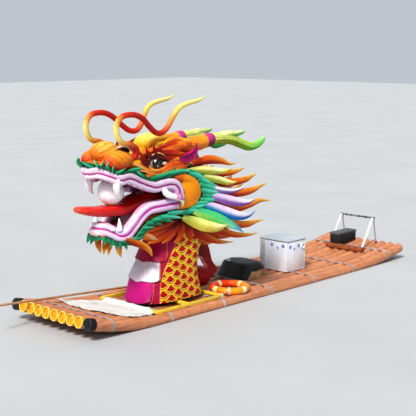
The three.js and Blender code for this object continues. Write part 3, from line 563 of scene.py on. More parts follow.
# Dried bamboo: straw brown and satin, with grain lines about 1 mm apart drawn at 4 mm so that they
# show, and darker rings at the nodes.
bamboo = finish("dried bamboo, hand-worn")
bamboo_coords = add(bamboo, "TexCoord").outputs["Object"]
bamboo_long = add(bamboo, "Mapping", {"Scale": (1.5, 40.0, 40.0)}, {"Vector": bamboo_coords})
bamboo_grain = add(bamboo, "TexNoise", {"Scale": 6.0, "Detail": 5.0}, {"Vector": bamboo_long})
bamboo_tone = add(bamboo, "ValToRGB", {"stops": [(0.3, "#8c6444"), (0.5, "#b98a62"), (0.72, "#d6b08a")]},
    {"Fac": bamboo_grain})
bamboo_bump = add(bamboo, "Bump", {"Strength": 0.2, "Distance": 0.002}, {"Height": bamboo_grain})
bamboo_skin = add(bamboo, "BsdfPrincipled", {"Roughness": 0.48},
    {"Base Color": bamboo_tone, "Normal": bamboo_bump})
add(bamboo, "OutputMaterial", {}, {"Surface": bamboo_skin})
piece("pole", sweep(culm_rows, sides=20), bamboo, RAFT, replaces=["punt_pole"])

# Bow cloth
# A white cotton sheet spread over the bow deck and the front beam. Its far and near corners lie
# in creases, and its raw near edge is frayed.
CLOTH_EDGE = [
    (0.60, 0.31), (0.80, 0.86), (1.15, 0.60), (1.56, 0.36), (1.62, 0.10), (1.44, -0.79), (1.16, -0.88),
    (0.86, -0.75), (0.72, -0.43), (0.61, -0.06),
]
PLY = 0.003


def deck_top(x, y):
    """The top of the tubes at a point, softened in the grooves as a cloth bridges them."""
    off = abs((y / TUBE_PITCH + TUBE_COUNT / 2) % 1 - 0.5) * TUBE_PITCH
    sag = TUBE_RADIUS - math.sqrt(max(TUBE_RADIUS ** 2 - off ** 2, 0))
    return DECK_Z + eased_rise(x) - min(sag, 0.004)


def cloth_height(x, y):
    """The height of the sheet: over the front beam, down to the deck, with folds and creases."""
    on_strap = 0.009
    low = deck_top(x, y) + on_strap
    over_beam = BEAM_TOP + 0.004
    reach = abs(x - BEAM_X[0]) - HALF_BEAM
    hang = over_beam - max(reach, 0) * 1.7
    ridge = max(low, hang)
    folds = 0.012 * noise.noise(Vector((x * 9 + y * 2, y * 4 - x * 3, 0.3)))
    creases = 0.010 * max(0, noise.noise(Vector((x * 3.5 - y * 2.2, y * 9.5 + x * 5, 1.7)))) ** 1.4
    return ridge + max(folds, -0.002) + creases * 3.4 + 0.001


def inside_cloth(x, y):
    """Whether a point of the deck lies under the sheet."""
    hit = False
    for (xa, ya), (xb, yb) in zip(CLOTH_EDGE, CLOTH_EDGE[1:] + CLOTH_EDGE[:1]):
        if (ya > y) != (yb > y) and x < (xb - xa) * (y - ya) / (yb - ya) + xa:
            hit = not hit
    return hit


weave = bare_mesh()
bmesh.ops.create_grid(weave, x_segments=110, y_segments=150, size=0.5)
moved(weave, placed((1.11, -0.01, 0), (1.06, 1.78, 1)))
bmesh.ops.delete(weave, geom=[v for v in weave.verts if not inside_cloth(v.co.x, v.co.y)], context="VERTS")
CLOTH_AREA = sum(face.calc_area() for face in weave.faces)
for v in weave.verts:
    v.co.z = cloth_height(v.co.x, v.co.y)

# Plain cotton: matt off-white, threads about 0.5 mm apart drawn at 3 mm so that they show, grey in
# its creases and stained where it lies on wet tubes.
cotton = finish("plain-woven cotton sheet, grubby")
cotton_coords = add(cotton, "TexCoord").outputs["Object"]
cotton_weave = add(cotton, "TexWave", {"Scale": 52.0, "Distortion": 1.0},
    {"Vector": cotton_coords}).outputs["Fac"]
cotton_soil = add(cotton, "TexNoise", {"Scale": 5.0, "Detail": 6.0, "Roughness": 0.62},
    {"Vector": cotton_coords})
cotton_tone = add(cotton, "ValToRGB", {"stops": [(0.22, "#aea8a0"), (0.40, "#cbc8c3"), (0.6, "#dad9d6")]},
    {"Fac": cotton_soil})
cotton_bump = add(cotton, "Bump", {"Strength": 0.25, "Distance": 0.0015}, {"Height": cotton_weave})
cotton_cloth = add(cotton, "BsdfPrincipled", {"Roughness": 0.85, "Sheen Weight": 0.25},
    {"Base Color": cotton_tone, "Normal": cotton_bump})
add(cotton, "OutputMaterial", {}, {"Surface": cotton_cloth})
cloth = piece("bow_cloth", weave, cotton, RAFT, replaces=["bow_sheet"], sharp=180)
ply = cloth.modifiers.new("ply", "SOLIDIFY")
ply.thickness, ply.offset = PLY, 1

# Loose warp threads trail from the frayed edge over the outer tubes.
FRAY = [
    (1.45, -0.76), (1.39, -0.79), (1.33, -0.81), (1.26, -0.83), (1.19, -0.85), (1.12, -0.85), (1.05, -0.83),
    (0.98, -0.80), (0.91, -0.76), (1.29, -0.82), (1.15, -0.85),
]
threads = []
for n, (x, y) in enumerate(FRAY):
    reach = 0.085 + 0.025 * math.sin(n * 2.3)
    rows = []
    for k in range(6):
        t = k / 5
        px = x - 0.06 * t * math.sin(n * 1.7) + 0.012 * math.sin(9 * t + n)
        py = y + 0.02 - reach * t
        rows.append((px, py, deck_top(px, py) + 0.010 - 0.004 * t, 0.0055 * (1 - 0.5 * t)))
    threads.append(sweep(rows, sides=6, steps=10, across=(0, 0, 1), flat=0.5))
fringe_threads = piece("cloth_fringe", threads, cotton, RAFT)

# Life ring
# A standard 720 mm life ring: a closed-cell foam core in an orange polyethylene shell, with four
# bands of pale reflective tape. It lies on the near deck, tied to the frame with white cord.
RING_X, RING_Y, RING_RADIUS, RING_HALF = 3.46, -0.61, 0.30, 0.0622
RING_Z = DECK_Z + 0.0004 + 0.0625
RING_LIFT = 0.0015
BAND_ANGLES, BAND_HALF_ANGLE, BAND_SWELL = (0, 84, 174, 273), 7.5, 1.03


def hoop(radius, half, sides, steps):
    """A round bar bent into a flat ring."""
    section = placed((radius, 0, 0), (half, half, half), Matrix.Rotation(math.pi / 2, 4, "X"))
    return turned(moved(unit_ring(sides), section), (0, 0, 1), steps)


shell = hoop(RING_RADIUS, RING_HALF, 28, 96)
tint = shell.verts.layers.float_color["tint"]
for v in shell.verts:
    angle = math.degrees(math.atan2(v.co.y, v.co.x))
    banded = any(abs((angle - a + 180) % 360 - 180) < BAND_HALF_ANGLE for a in BAND_ANGLES)
    # Painted light: the near and upper side of the shell is painted yellow-orange, as sunlit, and the far
    # side red-orange, as shade.
    painted_sunlight = min(max(0.5 - v.co.y / 0.34 + v.co.z * 3, 0), 1)
    orange = blend_colour(srgb("#ee4413"), srgb("#fb9a17"), painted_sunlight)
    v[tint] = srgb("#efe9b4") if banded else orange
    if banded:
        radial = Vector((v.co.x, v.co.y, 0)).normalized() * RING_RADIUS
        v.co = radial + (v.co - radial) * BAND_SWELL
bmesh.ops.translate(shell, vec=(RING_X, RING_Y, RING_Z + RING_LIFT), verts=shell.verts)
piece("ring_shell", shell, moulded, RAFT, replaces=["life_ring"], sharp=60)

# The tie is 8 mm white braid: turned round the ring, down over the near rail and knotted there.
TIE = [
    (3.235, -0.792, 0.335), (3.205, -0.815, 0.325), (3.170, -0.830, 0.300), (3.120, -0.842, 0.282),
    (3.070, -0.850, 0.276), (3.020, -0.855, 0.272), (2.990, -0.870, 0.270), (2.985, -0.883, 0.262),
    (2.985, -0.884, 0.245), (2.986, -0.884, 0.228), (2.988, -0.886, 0.214),
]
TIE_HALF, TURN_HALF = 0.004, 0.0045
tie_rows = [(*place, TIE_HALF) for place in TIE]
TIE_STEPS = 40
tie_path = smooth_path(tie_rows, TIE_STEPS)
# Braided cord: bright white sheath of crossing strands 4 mm apart, a little grey with use.
braid = finish("braided polyester cord")
braid_coords = add(braid, "TexCoord").outputs["Object"]
braid_lay = add(braid, "TexWave", {"bands_direction": "DIAGONAL", "Scale": 70.0, "Distortion": 0.5},
    {"Vector": braid_coords}).outputs["Fac"]
braid_tone = add(braid, "ValToRGB", {"stops": [(0.0, "#b9b4ae"), (0.5, "#efedea")]}, {"Fac": braid_lay})
braid_bump = add(braid, "Bump", {"Strength": 0.6, "Distance": 0.002}, {"Height": braid_lay})
braid_skin = add(braid, "BsdfPrincipled", {"Roughness": 0.7},
    {"Base Color": braid_tone, "Normal": braid_bump})
add(braid, "OutputMaterial", {}, {"Surface": braid_skin})
loops = []
middle, up = Vector((RING_X, RING_Y, RING_Z + RING_LIFT)), Vector((0, 0, 1))
reach = RING_HALF * BAND_SWELL + TURN_HALF
for turn in range(3):
    centre = math.radians(219.5 + 2.2 * turn)
    axis = Vector((math.cos(centre), math.sin(centre), 0))
    rows = []
    for k in range(25):
        a = 2 * math.pi * k / 24
        rows.append((*(middle + axis * (RING_RADIUS + reach * math.cos(a)) + up * (reach * math.sin(a))),
            TURN_HALF))
    loops.append(sweep(rows, sides=8, across=axis.cross(up)))
for turn in range(3):
    x = 2.972 + 0.011 * turn
    low, high = BEAM_Z - TURN_HALF, BEAM_TOP + TURN_HALF
    ya, yb = BEAM_Y[0] - HALF_BEAM - TURN_HALF, BEAM_Y[0] + HALF_BEAM + TURN_HALF
    bends = ((ya, low + 0.004), (ya, high - 0.004), (ya + 0.004, high), (yb - 0.004, high),
        (yb, high - 0.004), (yb, low + 0.004))
    loops.append(sweep([(x, y, z, 0.0042) for y, z in bends], sides=8, across=(1, 0, 0)))
knot = piece("tie_turns", loops, braid, RAFT)
tie = piece("tie_cord", sweep(tie_rows, sides=8, steps=TIE_STEPS, across=(0, 0, 1)), braid, RAFT)

# Generator and its block
# A small generator stands on a sawn timber block under a black coated cover. The cover is one
# loose sheet: it lies on the top, falls in folds and reaches the deck on the bow side.
BLOCK_LOW, BLOCK_HIGH = (4.306, -0.300, 0.2016), (4.680, 0.120, 0.3366)
COVER_X, COVER_Y = (4.22, 4.87), (-0.315, 0.385)
COVER_TOP, COVER_HEM, COVER_DECK = 0.506, 0.345, 0.211
COVER_SIDES, COVER_LEVELS = 112, 26
COVER_EDGE = 0.62

# Sawn softwood: pale brown with end grain, its growth rings about 6 mm apart drawn at 14 mm, and
# grey where it has weathered.
timber = finish("sawn softwood, weathered")
timber_coords = add(timber, "TexCoord").outputs["Object"]
timber_long = add(timber, "Mapping", {"Scale": (3.0, 1.0, 3.0)}, {"Vector": timber_coords})
timber_rings = add(timber, "TexWave", {"wave_type": "RINGS", "rings_direction": "Y", "Scale": 7.0,
    "Distortion": 7.0, "Detail": 3.0}, {"Vector": timber_long}).outputs["Fac"]
timber_soil = add(timber, "TexNoise", {"Scale": 9.0, "Detail": 5.0}, {"Vector": timber_coords})
timber_tone = add(timber, "ValToRGB", {"stops": [(0.0, "#b69064"), (0.5, "#cdac7c"), (1.0, "#dcc294")]},
    {"Fac": timber_rings})
timber_tint = add(timber, "Attribute", {"attribute_name": "tint"})
timber_grey = add(timber, "ValToRGB", {"stops": [(0.38, "#8d8273"), (0.58, "#ffffff")]},
    {"Fac": timber_soil})
timber_aged = add(timber, "MixRGB", {"blend_type": "MULTIPLY", "Fac": 0.35},
    {"Color1": timber_tone, "Color2": timber_grey})
timber_base = add(timber, "MixRGB", {"blend_type": "MULTIPLY", "Fac": 1.0},
    {"Color1": timber_aged, "Color2": timber_tint})
timber_bump = add(timber, "Bump", {"Strength": 0.35, "Distance": 0.002}, {"Height": timber_rings})
timber_skin = add(timber, "BsdfPrincipled", {"Roughness": 0.75},
    {"Base Color": timber_base, "Normal": timber_bump})
add(timber, "OutputMaterial", {}, {"Surface": timber_skin})


def dyed(bm, colour):
    """Gives a whole mesh one colour."""
    tint = bm.verts.layers.float_color["tint"]
    for v in bm.verts:
        v[tint] = srgb(colour)
    return bm


piece("timber_block", dyed(block(BLOCK_LOW, BLOCK_HIGH, 0.005), "#ffffff"), timber, RAFT,
    replaces=["generator_block"])

cover_places = []
for i in range(COVER_LEVELS + 1):
    t = i / COVER_LEVELS
    reach = 1.0 if t <= COVER_EDGE else max(1 - (t - COVER_EDGE) / (1 - COVER_EDGE), 0.03)
    cover_places.append(placed((0, 0, t), (reach, reach, 1)))
cover = extruded(unit_ring(COVER_SIDES, (0.45, 0.45)), cover_places, ("#ffffff",))
bmesh.ops.delete(cover,
    geom=[f for f in cover.faces if len(f.verts) > 8 and f.calc_center_median().z < 0.01],
    context="FACES_ONLY")
for v in cover.verts:
    ux, uy, t = v.co
    angle = math.atan2(uy, ux)
    down = max(1 - t / COVER_EDGE, 0)
    over_top = max((t - COVER_EDGE) / (1 - COVER_EDGE), 0)
    # On the bow side the cover hangs down to the deck, elsewhere its hem waves above it.
    hangs = min(max((-ux - 0.45) / 0.35, 0), 1)
    hem = COVER_HEM + (COVER_DECK - COVER_HEM) * hangs + 0.012 * math.sin(5 * angle + 0.6) * (1 - hangs)
    # Folds fall from the shoulder, and small crumples break them.
    fold = 0.5 * math.sin(9 * angle + 1.1) + 0.35 * math.sin(17 * angle + 2.0 * t)
    fold += 0.3 * math.sin(4 * angle)
    crumple = noise.noise(Vector((ux * 4, uy * 4, t * 5))) * 0.011
    reach = 1 + 0.14 * hangs * down ** 1.5 - 0.05 * (1 - down) - 0.06 * max(0.25 - down, 0)
    reach = reach + 0.035 * fold * down + crumple
    x = (COVER_X[0] + COVER_X[1]) / 2 + (COVER_X[1] - COVER_X[0]) / 2 * ux * reach
    y = (COVER_Y[0] + COVER_Y[1]) / 2 + (COVER_Y[1] - COVER_Y[0]) / 2 * uy * reach
    # The top is rounded at its edge, slopes to the stern and the near side, and dips a little.
    shoulder = 0.045 * (1 - min(over_top / 0.22, 1)) ** 2
    slope = -0.045 * max(ux, 0) ** 2 - 0.02 * max(-uy, 0)
    top = COVER_TOP - shoulder + slope + 0.012 * noise.noise(Vector((x * 7, y * 7, 0.5))) - 0.004
    z = top if down == 0 else hem + (top - hem) * (1 - down) ** 0.85
    v.co = (x, y, z)

# Coated polyester: black, slightly shiny, crumpled in creases 40 to 80 mm apart, with a dusty brown
# film on the flat of the top.
cover_cloth = finish("PU-coated polyester cloth, black")
cover_coords = add(cover_cloth, "TexCoord").outputs["Object"]
cover_crush = add(cover_cloth, "TexNoise", {"Scale": 16.0, "Detail": 4.0, "Distortion": 1.6},
    {"Vector": cover_coords})
cover_z = add(cover_cloth, "SeparateXYZ", {}, {"Vector": cover_coords}).outputs["Z"]
cover_high = add(cover_cloth, "MapRange", {"From Min": 0.475, "From Max": 0.505}, {"Value": cover_z})
cover_patch = add(cover_cloth, "Math", {"operation": "MULTIPLY"}, {0: cover_high, 1: cover_crush})
cover_dust = add(cover_cloth, "ValToRGB",
    {"stops": [(0.10, "#0c0d0f"), (0.40, "#1c1b1a"), (0.66, "#463f3a")]}, {"Fac": cover_patch})
cover_bump = add(cover_cloth, "Bump", {"Strength": 0.8, "Distance": 0.012}, {"Height": cover_crush})
cover_skin = add(cover_cloth, "BsdfPrincipled", {"Roughness": 0.5, "Sheen Weight": 0.1},
    {"Base Color": cover_dust, "Normal": cover_bump})
add(cover_cloth, "OutputMaterial", {}, {"Surface": cover_skin})
COVER_AREA = sum(face.calc_area() for face in cover.faces)
cover_piece = piece("generator_sheet", cover, cover_cloth, RAFT, replaces=["generator_cover"],
    sharp=180)
cover_ply = cover_piece.modifiers.new("ply", "SOLIDIFY")
cover_ply.thickness, cover_ply.offset = PLY, -1

# A white cord end is knotted round the cover's bow corner.
bow_knot = []
for k in range(3):
    a = 1.1 * k
    rows = [(4.285 + 0.03 * math.cos(a + s * 0.9), 0.16 + 0.035 * math.sin(a + s * 0.9),
        0.512 + 0.006 * k + 0.008 * math.sin(s * 1.3), 0.008) for s in range(7)]
    bow_knot.append(sweep(rows, sides=8, steps=18, across=(0, 0, 1)))
piece("cover_knot", bow_knot, braid, RAFT)

# Cabinet
# A sheet-steel cabinet about 540 mm wide and 680 mm deep, stove-enamelled white, with a folded
# stainless lid hinged along its far edge. Its sides are screwed panels with a row of small blue
# rosettes, and a grey louvre strip runs up the bow face.
CABINET_LOW, CABINET_HIGH = (5.28, -0.44, 0.2076), (5.82, 0.24, 0.79)
LID_LOW, LID_HIGH = (5.266, -0.454, 0.7906), (5.834, 0.2404, 0.8162)

# Stove enamel on sheet steel: smooth cool white, satin, with greasy smears and small rust freckles
# low down.
stoved = finish("stove-enamelled sheet steel, white")
stoved_coords = add(stoved, "TexCoord").outputs["Object"]
stoved_smear = add(stoved, "TexNoise", {"Scale": 4.0, "Detail": 6.0, "Roughness": 0.6},
    {"Vector": stoved_coords})
stoved_tone = add(stoved, "ValToRGB", {"stops": [(0.3, "#d6dae4"), (0.5, "#e2e5ed"), (0.7, "#eaecf2")]},
    {"Fac": stoved_smear})
stoved_fleck = add(stoved, "TexNoise", {"Scale": 60.0, "Detail": 2.0}, {"Vector": stoved_coords})
stoved_rust = add(stoved, "ValToRGB", {"stops": [(0.70, "#ffffff"), (0.76, "#b08a6a")]},
    {"Fac": stoved_fleck})
stoved_base = add(stoved, "MixRGB", {"blend_type": "MULTIPLY", "Fac": 0.6},
    {"Color1": stoved_tone, "Color2": stoved_rust})
stoved_bump = add(stoved, "Bump", {"Strength": 0.08, "Distance": 0.004}, {"Height": stoved_smear})
stoved_skin = add(stoved, "BsdfPrincipled", {"Roughness": 0.34, "Coat Weight": 0.1},
    {"Base Color": stoved_base, "Normal": stoved_bump})
add(stoved, "OutputMaterial", {}, {"Surface": stoved_skin})
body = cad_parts["cabinet_body"]
body.data.materials.clear()
body.data.materials.append(stoved)

# Rolled stainless steel: a cool grey metal with brush lines 1 mm apart drawn at 3 mm.
steel = finish("brushed stainless steel sheet")
steel_coords = add(steel, "TexCoord").outputs["Object"]
steel_long = add(steel, "Mapping", {"Scale": (3.0, 60.0, 60.0)}, {"Vector": steel_coords})
steel_lines = add(steel, "TexNoise", {"Scale": 5.0, "Detail": 3.0}, {"Vector": steel_long})
steel_tone = add(steel, "ValToRGB", {"stops": [(0.3, "#bcc6ce"), (0.7, "#e2e9ee")]}, {"Fac": steel_lines})
steel_bump = add(steel, "Bump", {"Strength": 0.1, "Distance": 0.001}, {"Height": steel_lines})
steel_skin = add(steel, "BsdfPrincipled", {"Metallic": 0.35, "Roughness": 0.36},
    {"Base Color": steel_tone, "Normal": steel_bump})
add(steel, "OutputMaterial", {}, {"Surface": steel_skin})

# Painted fittings: tinted semi-matt paint or rubber, for trims, ribs, feet and small parts.
fitting = finish("semi-matt paint on steel and rubber")
fitting_coords = add(fitting, "TexCoord").outputs["Object"]
fitting_tint = add(fitting, "Attribute", {"attribute_name": "tint"})
fitting_dust = add(fitting, "TexNoise", {"Scale": 24.0, "Detail": 5.0}, {"Vector": fitting_coords})
fitting_film = add(fitting, "ValToRGB", {"stops": [(0.4, "#ffffff"), (0.68, "#c4b9aa")]},
    {"Fac": fitting_dust})
fitting_base = add(fitting, "MixRGB", {"blend_type": "MULTIPLY", "Fac": 0.6},
    {"Color1": fitting_tint, "Color2": fitting_film})
fitting_bump = add(fitting, "Bump", {"Strength": 0.15, "Distance": 0.002}, {"Height": fitting_dust})
fitting_skin = add(fitting, "BsdfPrincipled", {"Roughness": 0.45},
    {"Base Color": fitting_base, "Normal": fitting_bump})
add(fitting, "OutputMaterial", {}, {"Surface": fitting_skin})

x0, y0, z0 = CABINET_LOW
x1, y1, z1 = CABINET_HIGH
MIDDLE = ((x0 + x1) / 2, (y0 + y1) / 2)
SHEET, GAP, SEAM, RIM = 0.004, 0.0002, 0.022, 0.03
fittings = []
for x, y in ((x0, y0), (x1, y0), (x0, y1), (x1, y1)):
    dx, dy = math.copysign(0.003, x - MIDDLE[0]), math.copysign(0.003, y - MIDDLE[1])
    low = (min(x + dx, x - 4 * dx), min(y + dy, y - 4 * dy), z0)
    high = (max(x + dx, x - 4 * dx), max(y + dy, y - 4 * dy), z1 - 0.002)
    fittings.append(dyed(block(low, high, 0.0015), "#e9ecf1"))
panels = [block((*low, z0 + RIM), (*high, z1 - RIM), 0.0018) for low, high in (
    ((x0 - SHEET, y0 + SEAM), (x0 - GAP, y1 - 0.145)), ((x0 + SEAM, y0 - SHEET), (x1 - SEAM, y0 - GAP)),
    ((x1 + GAP, y0 + SEAM), (x1 + SHEET, y1 - SEAM)), ((x0 + SEAM, y1 + GAP), (x1 - SEAM, y1 + SHEET)),
)]
piece("cabinet_panels", panels, stoved, RAFT)
LOUVRES = 16
fittings.append(dyed(block((x0 - 0.0035, y1 - 0.132, z0 + 0.02), (x0 - GAP, y1 - 0.014, z1 - 0.02), 0.0015),
    "#d6d8dc"))
for k in range(LOUVRES):
    z = z0 + 0.05 + k * (z1 - z0 - 0.1) / (LOUVRES - 1)
    fittings.append(sweep([(x0 - 0.005, y1 - 0.122, z, 0.009), (x0 - 0.005, y1 - 0.024, z, 0.009)], sides=8,
        flat=0.45, across=(1, 0, 0.6), colours=("#b9bcc2",)))
for z in (z0 + 0.04, z0 + 0.2, z0 + 0.38, z1 - 0.05):
    for x in (x0 + 0.03, x1 - 0.03):
        screw = [(x, y0 - 0.002, z, 0.007), (x, y0 - 0.006, z, 0.006), (x, y0 - 0.007, z, 0.003)]
        fittings.append(sweep(screw, across=(1, 0, 0), colours=("#a7acb3",)))
piece("cabinet_trim", fittings, fitting, RAFT)

# Rosettes: five round petals and a pale centre, screen-printed in two blues and well apart.
ROSETTES = [(0.10, 0.700, 0.021), (0.235, 0.650, 0.016), (0.38, 0.698, 0.019)]


def rosette(place, colour, petal):
    """A flower of five petals and a middle, facing up at a place."""
    petals = []
    for k in range(6):
        bm = unit_ring(14)
        bmesh.ops.holes_fill(bm, edges=bm.edges[:], sides=0)
        size = petal if k < 5 else petal * 0.5
        turn = Matrix.Rotation(k * 2 * math.pi / 5 + 0.3, 4, "Z")
        shift = turn @ Matrix.Translation((petal * 1.15 if k < 5 else 0, 0, 0.0002 if k == 5 else 0))
        moved(bm, place @ shift @ Matrix.Diagonal((size, size * 0.62, 1, 1)))
        petals.append(dyed(bm, colour if k < 5 else "#e8eefc"))
    return petals


printed = []
bow_face = Matrix.Rotation(-math.pi / 2, 4, "Y")
near_face = Matrix.Rotation(math.pi / 2, 4, "X")
for k, (along, z, petal) in enumerate(ROSETTES):
    colour = ("#3f6fd0", "#7fa4e6")[k % 2]
    printed += rosette(Matrix.Translation((x0 - SHEET - 0.0006, y0 + along, z)) @ bow_face, colour, petal)
    printed += rosette(Matrix.Translation((x0 + 0.9 * along, y0 - SHEET - 0.0006, z - 0.02)) @ near_face,
        colour, petal)
piece("cabinet_rosettes", printed, fitting, RAFT)

lid = block(LID_LOW, LID_HIGH, 0.005, 3)
bmesh.ops.inset_region(lid, faces=[f for f in lid.faces if f.normal.z > 0.99], thickness=0.03, depth=0.0)
sunken = {v for f in lid.faces if f.normal.z > 0.99 and f.calc_area() > 0.1 for v in f.verts}
bmesh.ops.translate(lid, vec=(0, 0, -0.004), verts=list(sunken))
piece("cabinet_cover", lid, steel, RAFT, replaces=["cabinet_lid"], body="lid")
# A dark rubber seal runs round under the lid; its dark band also stands for the painted shade under the
# lid's overhang.
seal_and_shade = block((LID_LOW[0] + 0.004, LID_LOW[1] + 0.004, 0.7835), (LID_HIGH[0] - 0.004, y1 + 0.002, 0.7899),
    0.001)
bmesh.ops.delete(seal_and_shade, geom=[f for f in seal_and_shade.faces if f.normal.z < -0.99], context="FACES_ONLY")
bmesh.ops.inset_region(seal_and_shade, faces=[f for f in seal_and_shade.faces if f.normal.z > 0.99], thickness=0.035)
bmesh.ops.delete(seal_and_shade, geom=[f for f in seal_and_shade.faces if f.normal.z > 0.99 and f.calc_area() > 0.1],
    context="FACES_ONLY")
piece("cabinet_seal", dyed(seal_and_shade, "#2c2e31"), fitting, RAFT)

# A white moulded grab ring hangs from a steel plate high on the near side.
grab = hoop(0.047, 0.0115, 12, 36)
moved(grab, Matrix.Translation((5.735, y0 - 0.019, 0.664)) @ near_face)
plate = dyed(block((5.71, y0 - 0.010, 0.698), (5.76, y0 - 0.0002, 0.735), 0.002), "#c9cdd3")
eye_bolt = sweep([(5.722, y0 - 0.017, 0.71, 0.007), (5.748, y0 - 0.017, 0.71, 0.007)], sides=10,
    colours=("#c9cdd3",))
piece("cabinet_grab", [dyed(grab, "#f2f3f4"), plate, eye_bolt], fitting, RAFT)

# Stern trestle, bearer and box
# A welded trestle of steel tube straddles the stern: two stout white-painted front legs, two thin
# galvanised rear legs and a dark cross bar with clamps. Its feet stand between the tubes.
TRESTLE_Y = (-0.40, 0.40)
APEX_X, APEX_Z = 8.19, 0.895
FRONT_X, REAR_X = 7.815, 8.318


def groove(x, half):
    """The height at which a round foot of that half width sits between two tubes."""
    return AXIS_Z + rise(x) + math.sqrt((0.0997 + half) ** 2 - 0.1 ** 2)


WHITE_STEEL, ZINC, RUBBER, CLAMP = "#f2f3f3", "#a5a8ab", "#3b3c3f", "#2c2d2f"
trestle_parts = []
for y in TRESTLE_Y:
    foot_z, rear_z = groove(FRONT_X, 0.024) + 0.002, groove(REAR_X, 0.016) + 0.002
    for rows, sides, steps, across, colour in (
        ([(FRONT_X, y, foot_z + 0.05, 0.024), (APEX_X - 0.012, y, APEX_Z, 0.024)], 24, 8, (0, 1, 0),
         WHITE_STEEL),
        ([(FRONT_X - 0.01, y, foot_z, 0.022), (FRONT_X + 0.012, y, foot_z + 0.035, 0.030),
         (FRONT_X + 0.03, y, foot_z + 0.06, 0.030), (FRONT_X + 0.034, y, foot_z + 0.066, 0.026)], 20, None,
         (0, 1, 0), RUBBER),
        ([(REAR_X, y, rear_z + 0.03, 0.0145), (APEX_X + 0.012, y, APEX_Z, 0.0145)], 16, 8, (0, 1, 0), ZINC),
        ([(REAR_X + 0.004, y, rear_z, 0.014), (REAR_X - 0.004, y, rear_z + 0.04, 0.020),
         (REAR_X - 0.005, y, rear_z + 0.045, 0.016)], 16, None, (0, 1, 0), RUBBER),
        ([(APEX_X, y - 0.035, APEX_Z, 0.026), (APEX_X, y + 0.035, APEX_Z, 0.026)], 20, None, (1, 0, 0),
         "#6c6f73"),
    ):
        trestle_parts.append(sweep(rows, sides=sides, steps=steps, across=across, colours=(colour,)))
trestle_parts.append(sweep([(APEX_X, y, APEX_Z, 0.019) for y in (TRESTLE_Y[0] - 0.03, TRESTLE_Y[1] + 0.03)],
    sides=20, steps=12, across=(1, 0, 0), colours=("#7a7d80", "#5b5d60", "#8a8d90", "#66686b")))
for y in (-0.22, -0.05, 0.16, 0.27):
    clamp = [(APEX_X, y - 0.014, APEX_Z, 0.0235), (APEX_X, y + 0.014, APEX_Z, 0.0235)]
    trestle_parts.append(sweep(clamp, sides=16, across=(1, 0, 0), colours=(CLAMP,)))
piece("stern_trestle", trestle_parts, fitting, RAFT, replaces=["trestle"])

# The bearer is one sawn timber across the tubes. The black box on it is moulded polypropylene with
# stiffening ribs and a grey clip-on lid.
bearer_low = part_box("stern_bearer")
piece("bearer", dyed(block((7.555, -0.56, bearer_low[0].z + 0.0002), (7.655, 0.35, 0.3616), 0.005),
    "#b87858"), timber, RAFT, replaces=["stern_bearer"])
x0, y0, z0 = 7.604, 0.054, 0.3628
x1, y1, z1 = 8.251, 0.296, 0.597
RIB, BUCKLE = "#2a2c2f", "#3a3d40"
crate = [((x0 + 0.012, y0 + 0.012, z0), (x1 - 0.012, y1 - 0.012, z1 - 0.045), 0.012, 3, "#222427")]
for k in range(15):
    x = x0 + 0.03 + k * (x1 - x0 - 0.06) / 14
    crate.append(((x - 0.006, y0 + 0.003, z0 + 0.012), (x + 0.006, y1 - 0.003, z1 - 0.05), 0.003, 1, RIB))
for k in range(5):
    y = y0 + 0.035 + k * (y1 - y0 - 0.07) / 4
    crate.append(((x0 + 0.002, y - 0.006, z0 + 0.012), (x1 - 0.002, y + 0.006, z1 - 0.05), 0.003, 1, RIB))
crate.append(((x0, y0, z1 - 0.048), (x1, y1, z1 - 0.010), 0.008, 3, "#5d6166"))
for k in range(7):
    y = y0 + 0.03 + k * (y1 - y0 - 0.06) / 6
    crate.append(((x0 + 0.03, y - 0.007, z1 - 0.014), (x1 - 0.03, y + 0.007, z1 - 0.001), 0.003, 1,
        "#70757b"))
for x in (x0 + 0.14, x1 - 0.14):
    crate.append(((x - 0.03, y0 - 0.004, z1 - 0.075), (x + 0.03, y0 + 0.008, z1 - 0.03), 0.003, 1, BUCKLE))
piece("box", [dyed(block(*shape), colour) for *shape, colour in crate], fitting, RAFT,
    replaces=["stern_box"])

# Figurehead: neck
# The dragon is built the way festival figures are: foam blocks on a steel frame, a skin of glass
# fibre and resin, airbrushed and varnished. Its neck stands on the yellow frame, with painted
# scales on the sides and three shingled plates down the front. It is laid out about its own middle.
FIGUREHEAD = Matrix.Translation((RAFT_X, NECK_Y, 0))
NECK_ROWS = [
    (0.2634, 1.585, 2.91, 0.44), (0.62, 1.665, 2.80, 0.41), (0.925, 1.815, 2.845, 0.375),
    (1.2, 1.95, 2.96, 0.36), (1.5, 2.02, 3.00, 0.38),
]
NECK_ROUND, NECK_BACK_ROUND = (0.8, 0.7), (0.45, 0.4)
SCALE_RADIUS = 0.157
SCALE_EDGE = [(0.26, 1.835), (0.56, 1.87), (0.77, 1.96), (0.99, 2.11), (1.29, 2.30)]

# Airbrushed resin: the attribute "tint" holds the sprayed colour, with painted light in places: a painted
# highlight on the forehead and the tops of the nose's balls, and painted shade on the fin and in the nose's
# grooves. "strand" runs across each carved lock, so fine brush lines 8 to 15 mm apart follow it. Under a
# satin varnish it is mottled and slightly uneven, as hand-laid resin is.
resin = finish("airbrushed glass-fibre resin, satin varnish")
resin_coords = add(resin, "TexCoord").outputs["Object"]
resin_tint = add(resin, "Attribute", {"attribute_name": "tint"})
resin_strand = add(resin, "Attribute", {"attribute_name": "strand"}).outputs["Fac"]
resin_waver = add(resin, "TexNoise", {"Scale": 7.0, "Detail": 3.0}, {"Vector": resin_coords})
resin_count = add(resin, "Math", {"operation": "MULTIPLY", 1: 20.0}, {0: resin_strand})
resin_shift = add(resin, "Math", {"operation": "MULTIPLY_ADD", 1: 2.6}, {0: resin_waver, 2: resin_count})
resin_lines = add(resin, "Math", {"operation": "SINE"}, {0: resin_shift})
